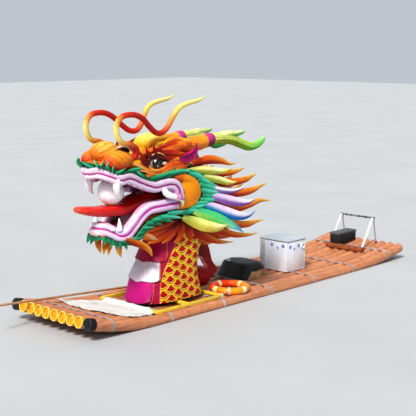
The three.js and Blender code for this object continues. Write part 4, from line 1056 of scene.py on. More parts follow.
resin_stroke = add(resin, "ValToRGB", {"stops": [(0.0, "#c9bdb4"), (0.55, "#ffffff"), (1.0, "#ffffff")]},
    {"Fac": resin_lines})
resin_blot = add(resin, "TexNoise", {"Scale": 11.0, "Detail": 5.0, "Roughness": 0.6},
    {"Vector": resin_coords})
resin_mottle = add(resin, "ValToRGB", {"stops": [(0.30, "#d3c6be"), (0.52, "#ffffff")]},
    {"Fac": resin_blot})
resin_lined = add(resin, "MixRGB", {"blend_type": "MULTIPLY", "Fac": 0.55},
    {"Color1": resin_tint, "Color2": resin_stroke})
resin_base = add(resin, "MixRGB", {"blend_type": "MULTIPLY", "Fac": 0.5},
    {"Color1": resin_lined, "Color2": resin_mottle})
resin_height = add(resin, "Math", {"operation": "MULTIPLY_ADD", 1: 0.6}, {0: resin_lines, 2: resin_blot})
resin_bump = add(resin, "Bump", {"Strength": 0.35, "Distance": 0.006}, {"Height": resin_height})
resin_skin = add(resin, "BsdfPrincipled", {"Roughness": 0.46, "Specular IOR Level": 0.22,
    "Coat Weight": 0.06, "Coat Roughness": 0.3}, {"Base Color": resin_base, "Normal": resin_bump})
add(resin, "OutputMaterial", {}, {"Surface": resin_skin})

# Painted scales: yellow rims with a darker olive line round red fans, 314 mm wide, in rows 78 mm
# apart. "girth" is the distance round the neck in metres. Towards the belly a plain magenta strip
# is masked off along the slanting edge.
scales = finish("painted scales on glass-fibre resin, varnished")
scales_coords = add(scales, "TexCoord").outputs["Object"]
scales_girth = add(scales, "Attribute", {"attribute_name": "girth"}).outputs["Fac"]
scales_z = add(scales, "SeparateXYZ", {}, {"Vector": scales_coords}).outputs["Z"]
scales_row = add(scales, "Math", {"operation": "MULTIPLY_ADD", 1: 2 / SCALE_RADIUS, 2: 1.1}, {0: scales_z})
scales_step = add(scales, "Math", {"operation": "FLOOR"}, {0: scales_row})


def scale_distance(back):
    """The distance to the middle of the scale that is `back` rows down, as a share of its radius."""
    order = add(scales, "Math", {"operation": "SUBTRACT", 1: float(back)}, {0: scales_step})
    fall = add(scales, "Math", {"operation": "SUBTRACT", 1: 2.0}, {0: scales_row})
    climb = add(scales, "Math", {"operation": "SUBTRACT"}, {0: order, 1: fall})
    up = add(scales, "Math", {"operation": "MULTIPLY", 1: 0.5}, {0: climb})
    odd = add(scales, "Math", {"operation": "FLOORED_MODULO", 1: 2.0}, {0: order})
    share = add(scales, "Math", {"operation": "DIVIDE", 1: SCALE_RADIUS}, {0: scales_girth})
    aside = add(scales, "Math", {"operation": "SUBTRACT"}, {0: share, 1: odd})
    wrap = add(scales, "Math", {"operation": "FLOORED_MODULO", 1: 2.0}, {0: aside})
    across = add(scales, "Math", {"operation": "SUBTRACT", 1: 1.0}, {0: wrap})
    squares = add(scales, "Math", {"operation": "MULTIPLY"}, {0: across, 1: across})
    both = add(scales, "Math", {"operation": "MULTIPLY_ADD"}, {0: up, 1: up, 2: squares})
    return add(scales, "Math", {"operation": "SQRT"}, {0: both})


scales_upper, scales_lower = scale_distance(0), scale_distance(1)
scales_hit = add(scales, "Math", {"operation": "LESS_THAN", 1: 1.0}, {0: scales_upper})
scales_gap = add(scales, "Math", {"operation": "SUBTRACT"}, {0: scales_upper, 1: scales_lower})
scales_radius = add(scales, "Math", {"operation": "MULTIPLY_ADD"}, {0: scales_gap, 1: scales_hit,
    2: scales_lower})
scales_paint = add(scales, "ValToRGB", {"stops": [(0.0, "#c00a14"), (0.665, "#a80a12"), (0.680, "#f0b9a0"),
    (0.700, "#f0c01c"), (0.768, "#eab818"), (0.785, "#6a4416"), (0.845, "#745018"), (0.865, "#f0c828"),
    (1.0, "#f4d238")]}, {"Fac": scales_radius})
scales_relief = add(scales, "ValToRGB", {"stops": [(0.0, "#606060"), (0.66, "#707070"), (0.70, "#b0b0b0"),
    (0.77, "#b8b8b8"), (0.81, "#707070"), (0.865, "#e0e0e0"), (1.0, "#ffffff")]}, {"Fac": scales_radius})
scales_shine = add(scales, "TexNoise", {"Scale": 9.0, "Detail": 4.0}, {"Vector": scales_coords})
scales_grime = add(scales, "ValToRGB", {"stops": [(0.32, "#c8b49a"), (0.55, "#ffffff")]},
    {"Fac": scales_shine})
scales_dulled = add(scales, "MixRGB", {"blend_type": "MULTIPLY", "Fac": 0.5},
    {"Color1": scales_paint, "Color2": scales_grime})
scales_masked = add(scales, "Attribute", {"attribute_name": "strip"}).outputs["Fac"]
scales_edge = add(scales, "ValToRGB", {"stops": [(0.47, "#000000"), (0.49, "#ffffff")]},
    {"Fac": scales_masked})
scales_strip = add(scales, "ValToRGB",
    {"stops": [(0.44, "#a5114a"), (0.474, "#a5114a"), (0.480, "#f2cc2c")]}, {"Fac": scales_masked})
scales_base = add(scales, "MixRGB", {}, {"Fac": scales_edge, "Color1": scales_strip,
    "Color2": scales_dulled})
scales_bump = add(scales, "Bump", {"Strength": 0.6, "Distance": 0.012}, {"Height": scales_relief})
scales_skin = add(scales, "BsdfPrincipled", {"Roughness": 0.42, "Specular IOR Level": 0.22,
    "Coat Weight": 0.05}, {"Base Color": scales_base, "Normal": scales_bump})
add(scales, "OutputMaterial", {}, {"Surface": scales_skin})


def level(rows, z):
    """A row of numbers between the rows of a table that starts each row with its height."""
    z = min(max(z, rows[0][0]), rows[-1][0])
    for low, high in zip(rows, rows[1:]):
        if z <= high[0]:
            t = (z - low[0]) / (high[0] - low[0])
            return [a + (b - a) * t for a, b in zip(low, high)][1:]
    return list(rows[-1][1:])


def both_sides(part):
    """A part and its mirror image in the figurehead's middle plane."""
    twin = moved(part.copy(), Matrix.Diagonal((1, -1, 1, 1)))
    bmesh.ops.reverse_faces(twin, faces=twin.faces)
    return [part, twin]


NECK_LEVELS = 48
neck_places = []
for i in range(NECK_LEVELS + 1):
    z = NECK_ROWS[0][0] + (NECK_ROWS[-1][0] - NECK_ROWS[0][0]) * i / NECK_LEVELS
    below, above = level(NECK_ROWS, z - 0.06), level(NECK_ROWS, z + 0.06)
    front, back, half = [0.5 * (a + b) for a, b in zip(below, above)]
    neck_places.append(placed(((front + back) / 2, 0, z), ((back - front) / 2, half, 1)))
shaft = extruded(unit_ring(120, NECK_ROUND, NECK_BACK_ROUND), neck_places, ("#a5114a",))
girth = shaft.verts.layers.float.new("girth")
strip = shaft.verts.layers.float.new("strip")
bands = {}
for v in shaft.verts:
    bands.setdefault(round(v.co.z, 4), []).append(v)
for ring in bands.values():
    for side in (1, -1):
        half_ring = sorted((v for v in ring if v.co.y * side > -1e-5),
            key=lambda v: math.atan2(abs(v.co.y), v.co.x - NECK_X))
        run, start, last = [], 0.0, None
        for v in half_ring:
            start += (v.co - last.co).length if last else 0.0
            run.append(start)
            last = v
        at_mark = min(zip(run, half_ring), key=lambda pair: abs(pair[1].co.x - NECK_X))
        for distance, v in zip(run, half_ring):
            v[girth] = at_mark[0] + at_mark[1].co.x - distance
            v[strip] = 0.5 + (v.co.x - level(SCALE_EDGE, v.co.z)[0])
piece("neck_scales", shaft, scales, FIGUREHEAD, replaces=["neck_core"], sharp=75)

# Belly plates: [height, front edge on the sides] from the top down, and the colours.
PLATES = [
    ([(0.945, 1.93), (0.97, 1.99), (1.03, 2.03), (1.3, 2.09)], "#b3164c", "#a01444"),
    # The white plate's top colour is the darker one: painted shade under the edge of the plate above.
    ([(0.635, 1.80), (0.66, 1.845), (0.75, 1.87), (0.99, 1.93)], "#dcd2e0", "#e2dae8"),
    ([(0.2636, 1.66), (0.29, 1.685), (0.41, 1.72), (0.69, 1.77)], "#b80f78", "#a80d6e"),
]
plates = []
for edge, colour, rim in PLATES:
    sheet = bare_mesh()
    bmesh.ops.create_grid(sheet, x_segments=40, y_segments=16, size=1)
    tint = sheet.verts.layers.float_color["tint"]
    lowest = edge[0][0] < 0.3
    for v in sheet.verts:
        across, down = v.co.x, (1 - v.co.y) / 2
        z = edge[-1][0] + (edge[0][0] - edge[-1][0]) * down
        # The lower edge comes to a blunt point and stands out like that of a roof shingle.
        point = 0.0 if lowest else 0.022 * max(1 - abs(across) / 0.16, 0) * down ** 4
        scallop = 0.0 if lowest else 0.004 * math.cos(across * math.pi * 3) * down ** 5
        front, back, half = level(NECK_ROWS, z)
        middle, depth = (front + back) / 2, (back - front) / 2
        limit = math.acos(min((middle - level(edge, z)[0]) / depth, 0.999) ** (1 / NECK_ROUND[0]))
        angle = limit * across
        bulge = 0.014 * math.cos(across * math.pi / 2) * math.sin(down * math.pi)
        proud = 0.010 + 0.030 * down ** 1.5 + bulge
        z += 0.05 * across ** 2 * down ** 3 if lowest else 0.0
        v.co = (middle - (depth + proud) * math.cos(angle) ** NECK_ROUND[0],
            (half + proud) * math.copysign(abs(math.sin(angle)) ** NECK_ROUND[1], angle),
            z - point - scallop)
        v[tint] = blend_colour(srgb(colour), srgb(rim), down ** 2)
    bmesh.ops.recalc_face_normals(sheet, faces=sheet.faces)
    bmesh.ops.solidify(sheet, geom=sheet.faces[:], thickness=0.014)
    for v in sheet.verts:
        if v[tint][3] == 0:
            v[tint] = srgb(colour)
    plates.append(sheet)
    # A thin orange cord of paint runs down each side edge.
    line = []
    for i in range(15):
        z = edge[0][0] + (edge[-1][0] - edge[0][0]) * i / 14
        front, back, half = level(NECK_ROWS, z)
        middle, depth = (front + back) / 2, (back - front) / 2
        share = min((middle - level(edge, z)[0]) / depth, 0.999)
        angle = math.acos(share ** (1 / NECK_ROUND[0]))
        down = 1 - i / 14
        proud = 0.008 + 0.026 * down ** 1.5
        line.append((level(edge, z)[0] + 0.004, (half + proud) * math.sin(angle) ** NECK_ROUND[1], z,
            0.0085))
    plates += both_sides(sweep(line, sides=8, colours=("#e0682c", "#f0a040")))
piece("belly_plates", plates, resin, FIGUREHEAD)

# Figurehead: fin
# A leaf-shaped fin stands behind the neck, sawn from thick foam board, skinned and sprayed wine
# red, with a notch half-way up whose rim is sprayed pink.
FIN_EDGE = [
    (2.70, 1.28), (3.00, 1.31), (3.18, 1.27), (3.31, 1.08), (3.39, 0.90), (3.45, 0.70), (3.51, 0.62),
    (3.59, 0.545), (3.56, 0.46), (3.42, 0.375), (3.37, 0.30), (3.31, 0.2636), (2.70, 0.2636), (2.70, 0.66),
    (3.06, 0.668), (3.18, 0.635), (3.285, 0.610), (3.225, 0.68), (3.17, 0.765), (3.10, 0.795), (2.70, 0.79),
]
FIN_HALF = 0.030
fin = bare_mesh()
corners = [fin.verts.new((x, -FIN_HALF, z)) for x, z in FIN_EDGE]
board = fin.faces.new(corners)
grown = bmesh.ops.extrude_face_region(fin, geom=[board])["geom"]
bmesh.ops.translate(fin, vec=(0, 2 * FIN_HALF, 0),
    verts=[g for g in grown if isinstance(g, bmesh.types.BMVert)])
bmesh.ops.recalc_face_normals(fin, faces=fin.faces)
bmesh.ops.bevel(fin, geom=[e for e in fin.edges if abs(e.verts[0].co.y - e.verts[1].co.y) < 1e-5],
    affect="EDGES", offset=0.018, segments=3, profile=0.5, material=-1)
broad = [f for f in fin.faces if abs(f.normal.y) > 0.95 and f.calc_area() > 0.2]
bmesh.ops.inset_region(fin, faces=broad, thickness=0.03, depth=0.0)
bmesh.ops.triangulate(fin, faces=[f for f in fin.faces if len(f.verts) > 4])
bmesh.ops.subdivide_edges(fin, edges=fin.edges[:], cuts=2, use_grid_fill=True)


def airbrush(bm, base, patches):
    """Sprays soft-edged patches over a base colour: each is (middle, radii, colour, softness)."""
    tint = bm.verts.layers.float_color["tint"]
    for v in bm.verts:
        colour = srgb(base)
        for middle, radii, shade, soft in patches:
            far = math.dist((v.co.x / radii[0], abs(v.co.y) / radii[1], v.co.z / radii[2]),
                (middle[0] / radii[0], middle[1] / radii[1], middle[2] / radii[2]))
            t = min(max((1 - far) / soft, 0), 1)
            colour = blend_colour(colour, srgb(shade), t * t * (3 - 2 * t))
        v[tint] = colour
    return bm


# Painted shade: the fin is sprayed darkest in a broad patch high up behind the neck, where the head and
# mane shade it. It is also darker low down at the front, and a little brighter low at the back.
airbrush(fin, "#9c0610", [((3.30, 0, 0.45), (0.45, 1, 0.20), "#a80d18", 1.0),
    ((2.95, 0, 0.9), (0.45, 1, 0.5), "#5c0408", 0.8), ((2.9, 0, 0.3), (0.5, 1, 0.15), "#7d0810", 0.9)])
# The brush went once round the notch with pink.
NOTCH = FIN_EDGE[14:20]
fin_strand, fin_tint = fin.verts.layers.float["strand"], fin.verts.layers.float_color["tint"]
for v in fin.verts:
    v[fin_strand] = (v.co.z + 0.35 * v.co.x) * 3
    here = Vector((v.co.x, v.co.z))
    off = 1.0
    for a, b in zip(NOTCH, NOTCH[1:]):
        a, b = Vector(a), Vector(b)
        t = min(max((here - a).dot(b - a) / (b - a).length_squared, 0), 1)
        off = min(off, (here - a.lerp(b, t)).length)
    v[fin_tint] = blend_colour(srgb("#ec94a2"), v[fin_tint], min(max((off - 0.012) / 0.03, 0), 1))
piece("fin", fin, resin, FIGUREHEAD, replaces=["neck_fin"], sharp=50)

# Figurehead: head
# One carved shell forms the skull, snout, brows, cheeks and forehead. Its foam blocks are filled
# into one another, so the joins melt together under the resin.
SKULL_ROWS = [
    (0.72, 0.13, 2.59, 2.68), (0.84, 0.25, 2.55, 2.71), (1.05, 0.325, 2.49, 2.72), (1.33, 0.35, 2.46, 2.73),
    (1.50, 0.37, 2.40, 2.77), (1.80, 0.395, 2.34, 2.85), (2.15, 0.41, 2.28, 2.95), (2.33, 0.42, 1.74, 2.97),
    (2.60, 0.42, 1.46, 2.90), (2.85, 0.37, 1.52, 2.78), (3.00, 0.25, 1.74, 2.60),
]
CLAY = 0.017


def along_x(rows, steps, sides=40, square=(0.8, 0.8)):
    """A body along X through rows of (x, half width, low, high)."""
    turn = Matrix(((0, 0, 1, 0), (1, 0, 0, 0), (0, 1, 0, 0), (0, 0, 0, 1)))
    places = []
    for x, half, low, high in (smooth_path(rows, steps) if steps else [Vector(row) for row in rows]):
        places.append(placed((x, 0, (low + high) / 2), (half, (high - low) / 2, 1), turn))
    return extruded(unit_ring(sides, square), places, ("#ffffff",))


def ball(u, v):
    """A ball of unit radius."""
    bm = bare_mesh()
    bmesh.ops.create_uvsphere(bm, u_segments=u, v_segments=v, radius=1)
    return bm


def orb(x, y, z, rx, ry, rz, u=40, v=24):
    """A ball at a place, with a radius along each axis."""
    return moved(ball(u, v), placed((x, y, z), (rx, ry, rz)))


def melt(parts, grain, soften):
    """Fills parts into one another: one even skin with softened joins."""
    bm = gather(parts)
    mesh = bpy.data.meshes.new("foam")
    bm.to_mesh(mesh)
    bm.free()
    foam = bpy.data.objects.new("foam", mesh)
    scene.collection.objects.link(foam)
    join = foam.modifiers.new("join", "REMESH")
    join.mode, join.voxel_size = "VOXEL", grain
    rub = foam.modifiers.new("rub", "SMOOTH")
    rub.factor, rub.iterations = 0.5, soften
    skin = bpy.data.meshes.new_from_object(foam.evaluated_get(bpy.context.evaluated_depsgraph_get()))
    bpy.data.objects.remove(foam)
    made = bare_mesh()
    made.from_mesh(skin)
    bpy.data.meshes.remove(skin)
    return made


foam = [along_x(SKULL_ROWS, 60)]
sided = [
    orb(2.09, 0.02, 2.80, 0.30, 0.165, 0.258),
    orb(2.44, 0.36, 2.06, 0.320, 0.185, 0.290),
    sweep([(2.06, 0.44, 2.35, 0.05), (2.30, 0.455, 2.33, 0.08), (2.55, 0.455, 2.21, 0.095),
        (2.60, 0.455, 2.03, 0.10), (2.48, 0.455, 1.90, 0.09), (2.22, 0.45, 1.86, 0.06),
        (2.0, 0.43, 1.84, 0.03)], steps=24, flat=0.7),
    sweep([(1.44, 0.33, 2.77, 0.04), (1.65, 0.385, 2.81, 0.06), (1.95, 0.40, 2.82, 0.07),
        (2.35, 0.39, 2.86, 0.075), (2.8, 0.32, 2.90, 0.06)], steps=20, flat=0.8),
    sweep([(1.95, 0.34, 2.86, 0.032), (2.07, 0.325, 2.93, 0.054), (2.24, 0.31, 2.95, 0.062),
        (2.53, 0.31, 2.89, 0.068), (2.84, 0.31, 2.86, 0.076)], steps=20, flat=0.9),
    sweep([(1.17, 0.30, 2.66, 0.06), (1.33, 0.34, 2.64, 0.075), (1.50, 0.37, 2.56, 0.07)], steps=10,
        flat=0.8),
    orb(1.73, 0.37, 2.50, 0.26, 0.07, 0.07),
    orb(2.15, 0.39, 2.60, 0.24, 0.08, 0.10),
]
for part in sided:
    foam += both_sides(part)
head = melt(foam, CLAY, 5)
airbrush(head, "#ee7a1c", [
    ((1.25, 0.2, 2.76), (0.34, 0.30, 0.20), "#f4b52c", 0.6),
    ((0.95, 0.33, 2.56), (0.42, 0.30, 0.16), "#d9401a", 0.7),
    ((1.40, 0.40, 2.66), (0.24, 0.20, 0.22), "#f7b528", 0.8),
    ((1.90, 0, 2.98), (0.62, 0.50, 0.30), "#f9c832", 0.45),
    # Painted highlight: a paler patch on the top of the forehead dome.
    ((1.84, 0.10, 3.0), (0.32, 0.30, 0.20), "#fbe88a", 0.8),
    ((1.48, 0, 2.80), (0.14, 0.4, 0.12), "#f6c02c", 0.7),
    ((2.45, 0.28, 2.97), (0.42, 0.3, 0.09), "#f6b23a", 0.8),
    ((2.50, 0.36, 2.80), (0.50, 0.2, 0.10), "#e8641a", 0.8),
    ((1.70, 0.42, 2.72), (0.34, 0.20, 0.12), "#8e0f0e", 0.5),
    ((2.80, 0, 2.2), (0.50, 0.6, 0.85), "#c2360f", 0.7),
    ((2.40, 0.50, 2.09), (0.52, 0.34, 0.44), "#f0920f", 0.45),
    ((2.16, 0.48, 2.30), (0.16, 0.2, 0.12), "#d8500f", 0.9),
    ((2.40, 0.44, 1.76), (0.40, 0.25, 0.10), "#c2440f", 0.8),
    ((1.75, 0.44, 2.50), (0.34, 0.15, 0.10), "#f0802a", 0.8),
    ((1.35, 0, 2.38), (0.95, 0.33, 0.13), "#8a2040", 0.4),
    ((2.20, 0, 2.08), (0.24, 0.40, 0.34), "#6e0a18", 0.3),
])
head_strand = head.verts.layers.float["strand"]
for v in head.verts:
    smooth = min(math.dist((v.co.x, v.co.z), (2.46, 2.06)) / 0.34, 1)
    v[head_strand] = (v.co.z * 2.6 + 0.7 * math.sin(v.co.x * 2.3)) * (smooth > 0.99)
piece("head", head, resin, FIGUREHEAD, replaces=["head_shell"], sharp=180)


def petal_ball(x, y, z, rx, ry, rz, petals, turn, tones):
    """One of the nose's three carved balls, with raised petals from its back pole to its front one."""
    bm = ball(72, 32)
    strand, tint = bm.verts.layers.float["strand"], bm.verts.layers.float_color["tint"]
    for v in bm.verts:
        angle = math.atan2(v.co.y, v.co.x)
        wide = math.sqrt(max(1 - v.co.z ** 2, 0))
        saw = (petals * angle / (2 * math.pi) + 0.12 * v.co.z) % 1
        v[strand] = angle * 1.5
        v.co *= 1 + 0.05 * wide * (saw ** 2 - 0.35)
        v[tint] = (saw, 0, 0, 1)
    moved(bm, placed((x, y, z), (rx, ry, rz)) @ turn)
    for v in bm.verts:
        saw = v[tint][0]
        up = (v.co.z - z) / rz
        fore = (x - v.co.x) / rx
        # Painted light: the upper side of each ball is painted yellower (tones[1]) as a highlight, and the
        # grooves between petals darker (tones[3]) as painted shade.
        colour = blend_colour(srgb(tones[0]), srgb(tones[1]), min(max(0.5 + 0.75 * up, 0), 1))
        colour = blend_colour(colour, srgb(tones[2]), min(max(fore * 1.3 - 0.35 - 0.3 * up, 0), 1))
        v[tint] = blend_colour(colour, srgb(tones[3]), 0.62 * (1 - saw) ** 2.5)
    return bm


crown = Matrix.Rotation(math.radians(70), 4, "Y") @ Matrix.Rotation(0.5, 4, "Z")
sidelong = Matrix.Rotation(math.radians(-28), 4, "Y") @ Matrix.Rotation(math.radians(22), 4, "X")
nose_balls = [petal_ball(0.99, 0, 2.815, 0.26, 0.205, 0.18, 12, crown,
    ("#ee741a", "#fbd65c", "#f08420", "#d04a10"))]
for part in (
    petal_ball(1.04, 0.262, 2.692, 0.285, 0.172, 0.165, 16, sidelong,
        ("#d23c10", "#fbb030", "#e4481a", "#c83a0c")),
    sweep([(1.09, 0.13, 2.86, 0.012), (1.15, 0.20, 2.905, 0.020), (1.22, 0.26, 2.91, 0.022),
        (1.29, 0.30, 2.88, 0.016)], steps=12, flat=0.7, colours=("#f6c9a8", "#fdf3e6", "#f2c7b0")),
    dyed(orb(1.19, 0.235, 2.835, 0.105, 0.075, 0.062, 24, 14), "#1c0a08"),
    sweep([(1.27, 0.30, 2.88, 0.03), (1.33, 0.33, 2.82, 0.045), (1.31, 0.34, 2.73, 0.04),
        (1.24, 0.34, 2.68, 0.02)], steps=12, flat=0.6, colours=("#f04a34", "#e02a20", "#c01c16"),
        under=("#f7a08c", "#f06a50")),
):
    nose_balls += both_sides(part)
piece("nose_petals", nose_balls, resin, FIGUREHEAD, replaces=["nose"], sharp=60)

# Figurehead: mouth
# The lips are two resin rolls with a magenta line between them and a thin black line outside. The
# teeth are cast and glued in, the tongue hangs out of the mouth and carries the pearl.

# Gloss enamel: the mouth, eyes and pearl are brushed with a clear gloss over the sprayed colour, so
# they look wet. Only faint brush marks break it.
# The tint of the eyes and the pearl includes painted highlights.
gloss = finish("airbrushed resin under clear gloss enamel")
gloss_coords = add(gloss, "TexCoord").outputs["Object"]
gloss_tint = add(gloss, "Attribute", {"attribute_name": "tint"})
gloss_long = add(gloss, "Mapping", {"Scale": (1.0, 3.0, 3.0)}, {"Vector": gloss_coords})
gloss_brush = add(gloss, "TexNoise", {"Scale": 9.0, "Detail": 4.0}, {"Vector": gloss_long})
gloss_shade = add(gloss, "ValToRGB", {"stops": [(0.34, "#cdbfca"), (0.52, "#ffffff")]},
    {"Fac": gloss_brush})
gloss_base = add(gloss, "MixRGB", {"blend_type": "MULTIPLY", "Fac": 0.4},
    {"Color1": gloss_tint, "Color2": gloss_shade})
gloss_bump = add(gloss, "Bump", {"Strength": 0.12, "Distance": 0.004}, {"Height": gloss_brush})
gloss_skin = add(gloss, "BsdfPrincipled", {"Roughness": 0.26, "Specular IOR Level": 0.35,
    "Coat Weight": 0.2, "Coat Roughness": 0.12}, {"Base Color": gloss_base, "Normal": gloss_bump})
add(gloss, "OutputMaterial", {}, {"Surface": gloss_skin})

UPPER_LINE = [
    (0.60, 0.0, 2.508), (0.625, 0.085, 2.512), (0.70, 0.18, 2.522), (0.83, 0.31, 2.470),
    (0.99, 0.385, 2.405), (1.17, 0.40, 2.42), (1.41, 0.415, 2.32), (1.65, 0.455, 2.235), (1.80, 0.48, 2.25),
    (1.94, 0.50, 2.262), (2.05, 0.515, 2.24), (2.13, 0.52, 2.17), (2.15, 0.52, 2.08), (2.13, 0.515, 1.99),
]
LOWER_LINE = [
    (0.77, 0.0, 1.622), (0.79, 0.09, 1.62), (0.85, 0.17, 1.605), (0.93, 0.235, 1.56), (1.04, 0.305, 1.497),
    (1.17, 0.335, 1.52), (1.30, 0.355, 1.645), (1.43, 0.38, 1.785), (1.60, 0.40, 1.885),
    (1.84, 0.45, 1.912), (2.02, 0.475, 1.925), (2.14, 0.49, 1.93),
]


def beside(rows, out, back, half):
    """A line moved `out` across itself, up for the upper lip, and `back` towards the middle plane."""
    made = []
    path = smooth_path(rows, 60)
    for i, p in enumerate(path):
        along = (path[min(i + 1, 60)] - path[max(i - 1, 0)]).normalized()
        up = Vector((-along.z, 0, along.x)) if along.x > 0.25 or abs(along.z) > 0.5 else Vector((0, 0, 1))
        side = Vector((-along.y, along.x, 0))
        side = side.normalized() if side.length > 0.2 else Vector((0, 1, 0))
        q = p + up.normalized() * out - side * back
        made.append((q.x, max(q.y, 0), q.z, half))
    return made


def lip_roll(line, out, back, half, colours, flat=1.0):
    """One roll of the lip: run out along the far side, and mirrored for the near side."""
    return both_sides(sweep(beside(line, out, back, half), sides=20, flat=flat, colours=colours,
        across=(1, -0.6, 0)))


def tooth(rows, flat=0.8):
    """A pair of teeth, shaded at the root."""
    shades = ("#e9d9ec", "#fdfbff", "#ffffff", "#ffffff")
    return both_sides(sweep(rows, sides=18, steps=12, flat=flat, across=(0.2, 1, 0), colours=shades))


upper = []
for out, back, half, colours in (
    (0.043, 0.018, 0.052, ("#e6cedf", "#dcc2d9", "#d6bcd5", "#dcc6da", "#d3b0cf")),
    (-0.045, 0.026, 0.046, ("#e7d8e8", "#e1cee5", "#dbc3e0", "#ddc8e2", "#c79ecf")),
    (0.0, -0.013, 0.0125, ("#c81f9a", "#a8127e", "#a01078", "#b8188a")),
    (0.096, 0.016, 0.012, ("#151013",)),
    (-0.05, 0.10, 0.05, ("#d3adc9", "#c88db5", "#b0709a")),
):
    upper += lip_roll(UPPER_LINE, out, back, half, colours)
upper += tooth([(0.97, 0.33, 2.42, 0.088), (0.945, 0.335, 2.30, 0.070), (0.96, 0.335, 2.205, 0.048),
    (1.02, 0.33, 2.11, 0.010)])
upper += tooth([(1.82, 0.49, 2.22, 0.050), (1.84, 0.51, 2.13, 0.062), (1.92, 0.54, 2.075, 0.052),
    (2.04, 0.55, 2.045, 0.046), (2.15, 0.55, 2.00, 0.042), (2.19, 0.55, 1.94, 0.030),
    (2.17, 0.55, 1.87, 0.008)])
for x, w, z in ((1.16, 0.375, 2.375), (1.28, 0.38, 2.325), (1.40, 0.39, 2.28), (1.52, 0.41, 2.235),
        (1.64, 0.43, 2.205), (1.75, 0.45, 2.20)):
    upper += tooth([(x, w, z, 0.044), (x + 0.003, w, z - 0.025, 0.042), (x + 0.008, w, z - 0.045, 0.024)],
        0.7)
upper += both_sides(dyed(orb(2.00, 0.43, 2.13, 0.13, 0.05, 0.11, 24, 14), "#d3a9cf"))
piece("upper_mouth", upper, gloss, FIGUREHEAD, replaces=["upper_lip"], sharp=70)

JAW_ROWS = [
    (0.73, 0.10, 1.50, 1.59), (0.85, 0.20, 1.44, 1.56), (1.10, 0.27, 1.41, 1.51), (1.35, 0.32, 1.47, 1.62),
    (1.60, 0.36, 1.61, 1.80), (2.00, 0.38, 1.68, 1.86), (2.33, 0.37, 1.70, 1.88),
]
jaw = along_x(JAW_ROWS, 30)
airbrush(jaw, "#b3470f", [((1.5, 0, 1.95), (1.3, 0.36, 0.36), "#ecc4da", 0.3),
    ((0.95, 0, 1.62), (0.5, 0.32, 0.16), "#f0d8e6", 0.4)])
lower = [jaw]
for out, back, half, colours in (
    (-0.050, 0.018, 0.050, ("#e1c8e0", "#dabedc", "#ddc4de", "#d8bad8", "#d2add1")),
    (0.044, 0.028, 0.046, ("#e7dae9", "#dfcae4", "#dcc3e0", "#dfcce4", "#c9a3d3")),
    (0.0, -0.012, 0.0125, ("#c81f9a", "#b8188a", "#c022a0", "#a01078")),
    (-0.100, 0.020, 0.011, ("#151013",)),
    (0.050, 0.10, 0.050, ("#d2afca", "#d9a7c6", "#b9739e")),
):
    lower += lip_roll(LOWER_LINE, out, back, half, colours)
lower += tooth([(1.03, 0.29, 1.585, 0.056), (1.03, 0.29, 1.68, 0.038), (1.02, 0.29, 1.79, 0.006)])
for x, w, z in ((0.93, 0.25, 1.60), (1.14, 0.31, 1.57), (1.24, 0.33, 1.655), (1.34, 0.345, 1.755),
        (1.46, 0.36, 1.86)):
    lower += tooth([(x, w, z, 0.044), (x - 0.004, w, z + 0.028, 0.040), (x - 0.01, w, z + 0.048, 0.022)],
        0.7)
piece("lower_mouth", lower, gloss, FIGUREHEAD, replaces=["lower_jaw"], sharp=70)

# The tongue is a flat tapering slab with a groove down its middle.
tongue = sweep([(0.380, 0, 1.962, 0.035), (0.405, 0, 1.960, 0.085), (0.49, 0, 1.945, 0.120),
    (0.64, 0, 1.914, 0.148), (0.81, 0, 1.888, 0.162), (1.10, 0, 1.873, 0.186), (1.30, 0, 1.876, 0.206),
    (1.48, 0, 1.908, 0.226), (1.79, 0, 1.985, 0.245), (2.38, 0, 2.025, 0.24)], sides=32, steps=54,
    flat=0.52, across=(0, 0, 1), colours=("#f0503c", "#ea3c2c", "#dc2a20", "#cc1a14", "#bc1010", "#a80c10",
    "#8c0a10"), square=(0.8, 0.9))
for v in tongue.verts:
    groove_depth = max(1 - abs(v.co.y) / 0.07, 0) * min(max((v.co.x - 0.42) / 0.3, 0), 1)
    v.co.z -= 0.020 * groove_depth if v.co.z > 1.93 else 0
piece("tongue_slab", tongue, gloss, FIGUREHEAD, replaces=["tongue"], sharp=180)

pearl = orb(1.106, 0, 2.176, 0.2175, 0.2175, 0.2175, 64, 36)
# The pure white patch high on the front of the pearl is a painted highlight.
airbrush(pearl, "#f3f1f4", [((1.1, 0, 1.97), (0.25, 0.25, 0.10), "#f3cf9a", 0.9),
    ((0.98, 0.12, 2.27), (0.16, 0.16, 0.16), "#ffffff", 0.8)])
pearl_strand = pearl.verts.layers.float["strand"]
for v in pearl.verts:
    v[pearl_strand] = v.co.x * 3
piece("pearl_ball", pearl, gloss, FIGUREHEAD, replaces=["pearl"], sharp=180)

# Figurehead: eyes
# Each eye is a dark glossy ball of cast resin, glued into an almond-shaped socket with carved
# lids round it.
IRIS = (1.685, 0.392, 2.625)
PUPIL_EDGE, IRIS_RIM, IRIS_EDGE = 22, 50, 60


